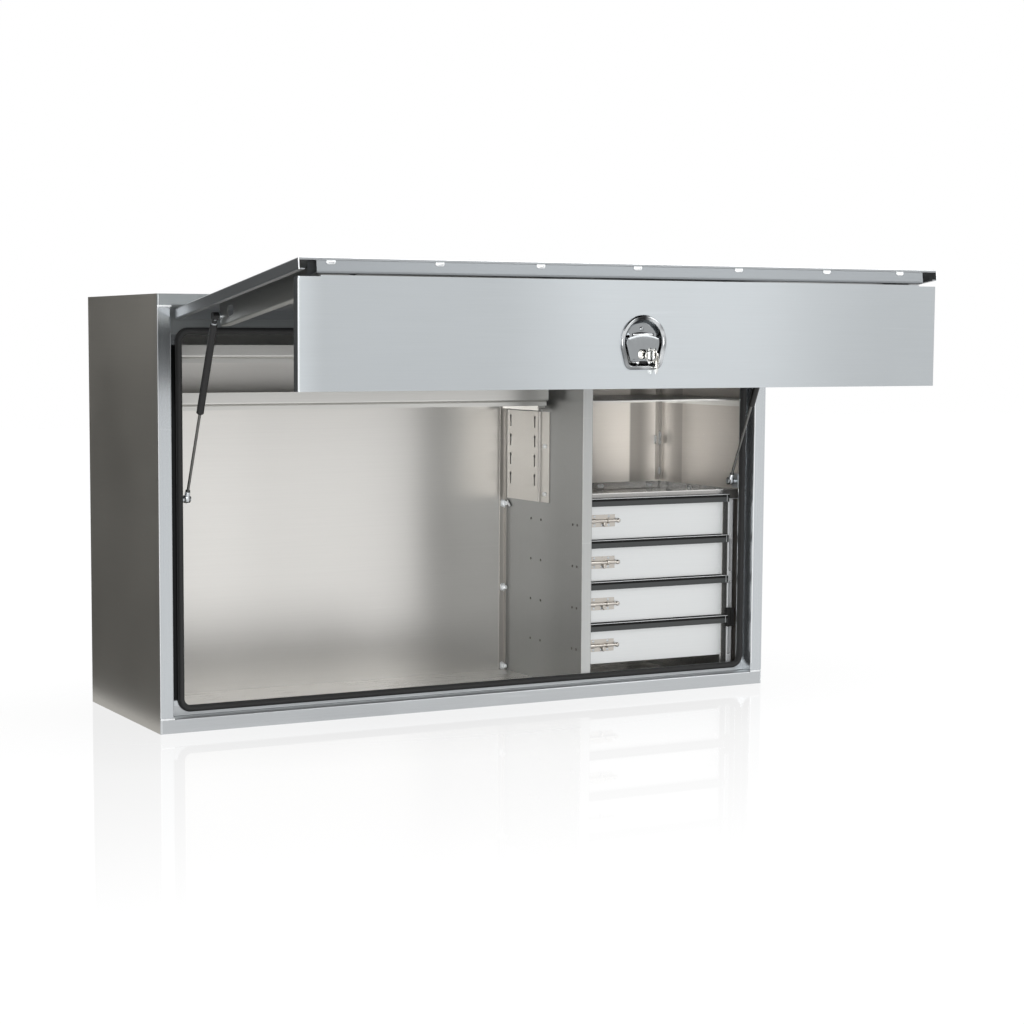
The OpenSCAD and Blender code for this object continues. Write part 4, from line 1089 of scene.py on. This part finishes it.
class TOOLBOX_OT_lock(bpy.types.Operator):
    """Form the lock's chrome dish with its rounded rim, the arched handle and the crescent plate"""
    bl_idname = "toolbox.lock"
    bl_label = "Lock"

    def execute(self, context):
        self.chrome()
        self.dish()
        self.handle()
        return {"FINISHED"}

    def chrome(self):
        """Rim chrome, with painted reflection: darker spots where it would mirror the shaded door and dark
        things.
        """
        color = srgb(206, 209, 211)
        tree, shader = new_material("rim_chrome", 1.0, 0.16, color)
        # Painted reflection: darker spots as (x, z, radius, factor), the darkest at the top of the rim.
        round_spots = [
            (tuple(lock_at(x, -3, z)), radius * MM, factor) for x, z, radius, factor in (
                (-6, 50, 30, 0.04), (-52, -20, 40, 0.32), (-20, -52, 34, 0.34),
                (24, -52, 30, 0.45), (54, 0, 26, 0.45), (44, 34, 16, 0.4))]
        tree.links.new(stained_or_shaded(tree, color[:3], round_spots), shader.inputs["Base Color"])
        bumped(tree, shader, noise(tree, own_place(tree), 500.0, 2), 0.00005, 0.3)

    def dish(self):
        """The dish: rounded rim, sloping wall and flat bottom, with the crescent plate and its rivet."""
        levels = [(-8.5, 14), (-8.5, 1), (0, 0), (0, -1.2), (-0.8, -3.0), (-2.4, -4.2), (-4.6, -4.6),
                  (-7.0, -4.0), (-8.8, -2.4), (-9.8, 0), (-11.2, 5.5), (-12.4, 11.8), (-13.2, 12.4)]
        rim = lofted([outline_ring(grow, y) for grow, y in levels])
        piece = add_piece("lock_rim", rim, "flap", "rim_chrome", 50)
        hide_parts("lock_dish")
        arc = []
        reach = math.radians(76)
        for k in range(25):
            t = -reach + 2 * reach * k / 24
            arc.append((36 * math.sin(t), LOCK_CORNERS[0][1] + 36 * math.cos(t)))
        for k in range(25):
            x = 34.9 - 69.8 * k / 24
            arc.append((x, -69 + math.sqrt(90 ** 2 - x * x)))
        crescent = plate_mesh(arc, 6.5, 13)
        lugs = [plate_mesh([(x - 3, 6), (x + 3, 6), (x + 3, 19), (x - 3, 19)], 1.5, 13) for x in (-27, 27)]
        rivet = turned_mesh([(-1, 4.4), (0.6, 4.3), (1.6, 3.2), (2.0, 1.2)], lock_at(0, 6, 27), OUT, 24)
        plate = joined([crescent, rivet] + lugs)
        add_piece("lock_crescent", plate, "flap", "handle_chrome", 40)
        surround = turned_mesh(
            [(0, 12.5), (4.5, 12.5), (4.6, 8.6), (0.5, 8.6)], lock_at(0, 12.2, -PLUG_DROP), OUT, 32)
        add_piece("plug_surround", surround, "flap", "plug_rubber", 40)

    def handle(self):
        """The arched pull handle with its window round the key plug, its slot and two domed rivets."""
        arch = (-74.5, 90)
        half_wide, half_high = 11, 10
        rings = [outline_ring(grow, y, arch) for grow, y in ((-14.5, 3), (-14.5, 0.6), (-15.6, -0.6))]
        rings.append(outline_ring(-21, -1.8, (-78.5, 89)))
        for y in (-2.0, -1.6, 3.0):
            ring = []
            for t in angles(LOCK_STEPS):
                c, s = math.cos(t), math.sin(t)
                reach = (abs(c / half_wide) ** 6 + abs(s / half_high) ** 6) ** (-1 / 6)
                ring.append(lock_at(reach * c, y, reach * s - PLUG_DROP))
            rings.append(ring)
        rings.append(rings[0])
        piece = add_piece("handle_plate", lofted(rings, closed_ends=False), "lock_handle",
                          "handle_chrome", 28)
        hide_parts("lock_handle")
        pin = turned_mesh([(-22, 2.6), (-21, 3.4), (21, 3.4), (22, 2.6)], lock_at(0, 3, 16), RIGHT, 20, UP)
        domes = [
            turned_mesh([(-0.5, 3.4), (0.8, 3.2), (1.9, 1.6), (2.1, 0.4)], lock_at(x, -1.4, -37), OUT, 20)
            for x in (-13, 13)]
        add_piece("handle_fittings", joined([pin] + domes), "lock_handle", "lock_chrome", 40)
        slot = plate_mesh([(-8, -39), (8, -39), (8, -35), (-8, -35)], -2.1, -1.0)
        add_piece("handle_slot", slot, "lock_handle", "plug_rubber")


class TOOLBOX_OT_keys(bpy.types.Operator):
    """Put the key in its plug, with a second key on a split ring"""
    bl_idname = "toolbox.keys"
    bl_label = "Keys"

    def execute(self, context):
        piece = add_piece("lock_keys", joined([
            plate_mesh([(-1.2, -26), (1.2, -26), (1.2, -18), (-1.2, -18)], -10, 18),
            self.leaf(0, -9.5, -PLUG_DROP, 8, 10),
            ring_mesh(lock_at(9.5, -11, -24), IN, RIGHT, 0.0115, 0.0008),
            self.leaf(19, -9.6, -24, 7.6, 16),
            self.leaf(23.5, -9.4, -36, 7.2, 23),
            plate_mesh([(20.5, -48), (22.3, -48), (22.3, -30), (20.5, -30)], -12, -6.5),
        ]), "lock_barrel", "key_nickel", 40)
        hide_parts("lock_key")
        return {"FINISHED"}

    def leaf(self, x, y, z, half_y, half_z):
        """A thin rounded key bow that stands in the plane across the flap."""
        rings = []
        for side, share in ((-1.1, 0.86), (-0.7, 1), (0.7, 1), (1.1, 0.86)):
            rings.append([
                lock_at(x + side, y + half_y * share * math.sin(t), z + half_z * share * math.cos(t))
                for t in angles(28)])
        return lofted(rings)


class TOOLBOX_OT_strut_ends(bpy.types.Operator):
    """Fit the gas struts' chrome necks, glands and ball ends"""
    bl_idname = "toolbox.strut_ends"
    bl_label = "Strut ends"

    def execute(self, context):
        for side in ("left", "right"):
            foot = Vector(JOINTS["strut_swing_" + side]["pos_m"])
            axis = Vector(JOINTS["strut_stroke_" + side]["axis"]).normalized()
            cylinder, rod = "strut_cylinder_" + side, "strut_rod_" + side
            low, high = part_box(cylinder)
            eye = 8
            length = ((high.z - foot.z) / MM - eye) / axis.z
            gland = (low.z - foot.z) / MM / axis.z
            neck = [(length - 19, 5.6), (length - 18, 6.0), (length - 15, 6.0), (length - 14, 4.4),
                    (length - 8, 4.2), (length - 7, 5.4), (length - 4, 5.4)]
            cap = [(gland - 1.0, 4.0), (gland - 0.4, 6.2), (gland + 1.4, 7.7), (gland + 5, 7.7),
                   (gland + 5.6, 7.4)]
            ball = [(-8.6, 1.5), (-8.0, 4.0), (-6.0, 6.4), (-3.0, 8.1), (0, 8.6), (3.0, 8.1), (6.0, 6.4),
                    (8.0, 5.4), (17, 5.2), (18, 4.4), (20, 4.2)]
            for name, profile, body, slot, finish in (
                ("strut_neck_", neck, cylinder, "zinc_steel", "zinc_plate"),
                ("strut_gland_", cap, cylinder, "strut_black", "strut_paint"),
                ("strut_ball_end_", ball, rod, "zinc_steel", "zinc_plate"),
            ):
                add_piece(name + side, turned_mesh(profile, foot, axis, 24), body, finish, 50)
        return {"FINISHED"}


def seen_directly(tree):
    """A value of 1 for camera, glossy and transmission rays, and the value for camera rays alone."""
    rays = tree.nodes.new("ShaderNodeLightPath").outputs
    seen = maths(tree, "MAXIMUM", rays["Is Camera Ray"], rays["Is Glossy Ray"])
    return maths(tree, "MAXIMUM", seen, rays["Is Transmission Ray"]), rays["Is Camera Ray"]


def mixed(tree, share, first, second):
    """A mix of two shaders."""
    return add_node(tree, "ShaderNodeMixShader", {"Fac": share, 1: first, 2: second}).outputs[0]


class TOOLBOX_OT_stage(bpy.types.Operator):
    """Set up the camera, the white floor, the studio flags and the soft light"""
    bl_idname = "toolbox.stage"
    bl_label = "Stage"

    def execute(self, context):
        studio = context.scene.toolbox.studio
        scene = context.scene
        self.camera(scene)
        scene.view_settings.view_transform = "Standard"
        self.surround(scene, studio)
        floor_size = 28.0
        floor = new_object("studio_floor", rectangle_mesh(floor_size, floor_size, Matrix()))
        floor.data.materials.append(self.floor_material(studio))
        lean = math.radians(27)
        self.flag("left_flag", (-2.7, 4.0, 1.2), (QUARTER, 0, lean), (4.2, 2.8))
        self.flag("left_mat", (-2.1, 1.9, 0.004), (0, 0, 0), (2.6, 4.2), one_sided=True)
        self.flag("top_flag", (0.0, -2.0, 2.4), (0, 0, 0), (3.4, 2.4))
        self.lamp("key_lamp", (2.2, -3.6, 3.0), (0.0, 0.0, 0.45), (3.0, 2.2), studio.key_power)
        self.lamp("fill_lamp", (-2.6, -5.0, 0.7), (0.45, 0.1, 0.5), (2.4, 1.3), studio.fill_power)
        return {"FINISHED"}

    def camera(self, scene):
        """The photograph's camera, fitted to the box's straight edges."""
        camera = bpy.data.cameras.new("photo_camera")
        camera.sensor_width = 36
        camera.lens = 74.49
        camera.shift_x = 0.0903
        camera.shift_y = 0.0186
        camera.clip_end = 60
        seat = bpy.data.objects.new("photo_camera", camera)
        right = Vector((0.89272, -0.45061, 0.0024))
        up = Vector((0.03854, 0.08166, 0.99591))
        back = -Vector((0.44896, 0.88898, -0.09027))
        turn = Matrix((right, up, back)).transposed()
        seat.matrix_world = Matrix.Translation(box_at(-1461.1, -4068.7, 809.8)) @ turn.to_4x4()
        scene.collection.objects.link(seat)
        scene.camera = seat

    def surround(self, scene, studio):
        """Even light from all sides, pure white where it is seen or mirrored."""
        world = bpy.data.worlds.new("studio")
        world.use_nodes = True
        tree = world.node_tree
        even = tree.nodes["Background"]
        even.inputs["Color"].default_value = (0.97, 0.985, 1.0, 1)
        even.inputs["Strength"].default_value = studio.ambient
        white = add_node(tree, "ShaderNodeBackground", {"Color": (1, 1, 1, 1), "Strength": 1.0})
        light = mixed(tree, seen_directly(tree)[0], even.outputs[0], white.outputs[0])
        tree.links.new(light, tree.nodes["World Output"].inputs["Surface"])
        scene.world = world

    def lamp(self, name, place, aim, size, power):
        """A soft rectangular lamp."""
        light = bpy.data.lights.new(name, "AREA")
        light.shape = "RECTANGLE"
        light.size, light.size_y = size
        light.energy = power
        holder = bpy.data.objects.new(name, light)
        way = Vector(aim) - Vector(place)
        holder.matrix_world = Matrix.Translation(place) @ way.to_track_quat("-Z", "Y").to_matrix().to_4x4()
        holder.visible_camera = False
        bpy.context.scene.collection.objects.link(holder)

    def flag(self, name, place, turn, size, one_sided=False):
        """A dark studio flag that only shows in the metal's reflections."""
        move = Matrix.Translation(place) @ Euler(turn).to_matrix().to_4x4()
        flag = new_object(name, rectangle_mesh(*size, move))
        tree, shader = new_material(name + "_cloth", 0.0, 0.9, srgb(40, 38, 34))
        flag.data.materials.append(made(name + "_cloth"))
        if one_sided:
            geometry = tree.nodes.new("ShaderNodeNewGeometry")
            clear = maths(tree, "SUBTRACT", 1.0, geometry.outputs["Backfacing"])
            tree.links.new(clear, shader.inputs["Alpha"])
        flag.visible_camera = False
        flag.visible_diffuse = False
        flag.visible_shadow = False

    def floor_material(self, studio):
        """White for the camera, with the object's shadow and a faint reflection that fades to the front."""
        material = bpy.data.materials.new("glossy_floor")
        material.use_nodes = True
        tree = material.node_tree
        tree.nodes.clear()
        lit = add_node(tree, "ShaderNodeEmission", {"Strength": 1.06})
        plain = add_node(tree, "ShaderNodeBsdfDiffuse", {"Color": (0.86, 0.86, 0.86, 1)})
        gloss = add_node(tree, "ShaderNodeBsdfGlossy", {"Roughness": 0.03})
        seen, by_camera = seen_directly(tree)
        flat = stretched(tree, own_place(tree), (0.50, 1.0, 0.0))
        reach = add_node(tree, "ShaderNodeVectorMath", {0: flat}, operation="LENGTH").outputs["Value"]
        away = add_node(tree, "ShaderNodeMapRange", {
            "Value": reach, "From Min": 0.30, "From Max": 0.75, "To Min": 0.88, "To Max": 1.0})
        share = maths(tree, "MULTIPLY", seen, away.outputs["Result"])
        base = mixed(tree, share, plain.outputs[0], lit.outputs[0])
        factor = maths(tree, "MULTIPLY", soft_step(tree, IN, -2.3, -0.20), studio.floor_gloss)
        factor = maths(tree, "MULTIPLY", factor, by_camera)
        add_node(tree, "ShaderNodeOutputMaterial", {"Surface": mixed(tree, factor, base, gloss.outputs[0])})
        return material


class TOOLBOX_PT_pieces(bpy.types.Panel):
    """The toolbox's pieces and settings"""
    bl_idname = "TOOLBOX_PT_pieces"
    bl_label = "Truck Toolbox"
    bl_space_type = "VIEW_3D"
    bl_region_type = "UI"
    bl_category = "Toolbox"

    def draw(self, context):
        layout = self.layout
        settings = context.scene.toolbox
        for group in (settings.colours, settings.sizes, settings.studio):
            column = layout.column()
            for name in group.bl_rna.properties.keys():
                if name not in ("rna_type", "name"):
                    column.prop(group, name)
        for operator in OPERATORS:
            layout.operator(operator.bl_idname)


OPERATORS = (
    TOOLBOX_OT_finishes,
    TOOLBOX_OT_door_seal,
    TOOLBOX_OT_rubber_clip,
    TOOLBOX_OT_weld_beads,
    TOOLBOX_OT_plug_welds,
    TOOLBOX_OT_screws,
    TOOLBOX_OT_sheet_edges,
    TOOLBOX_OT_rail_highlights,
    TOOLBOX_OT_lock,
    TOOLBOX_OT_keys,
    TOOLBOX_OT_strut_ends,
    TOOLBOX_OT_stage,
)
CLASSES = (SheetColours, PieceSizes, StudioLevels, ToolboxSettings) + OPERATORS + (TOOLBOX_PT_pieces,)


def register():
    for cls in CLASSES:
        bpy.utils.register_class(cls)
    bpy.types.Scene.toolbox = bpy.props.PointerProperty(type=ToolboxSettings)


def unregister():
    del bpy.types.Scene.toolbox
    for cls in reversed(CLASSES):
        bpy.utils.unregister_class(cls)


def main():
    register()
    for operator in OPERATORS:
        group, name = operator.bl_idname.split(".")
        getattr(getattr(bpy.ops, group), name)()


if __name__ == "__main__":
    main()
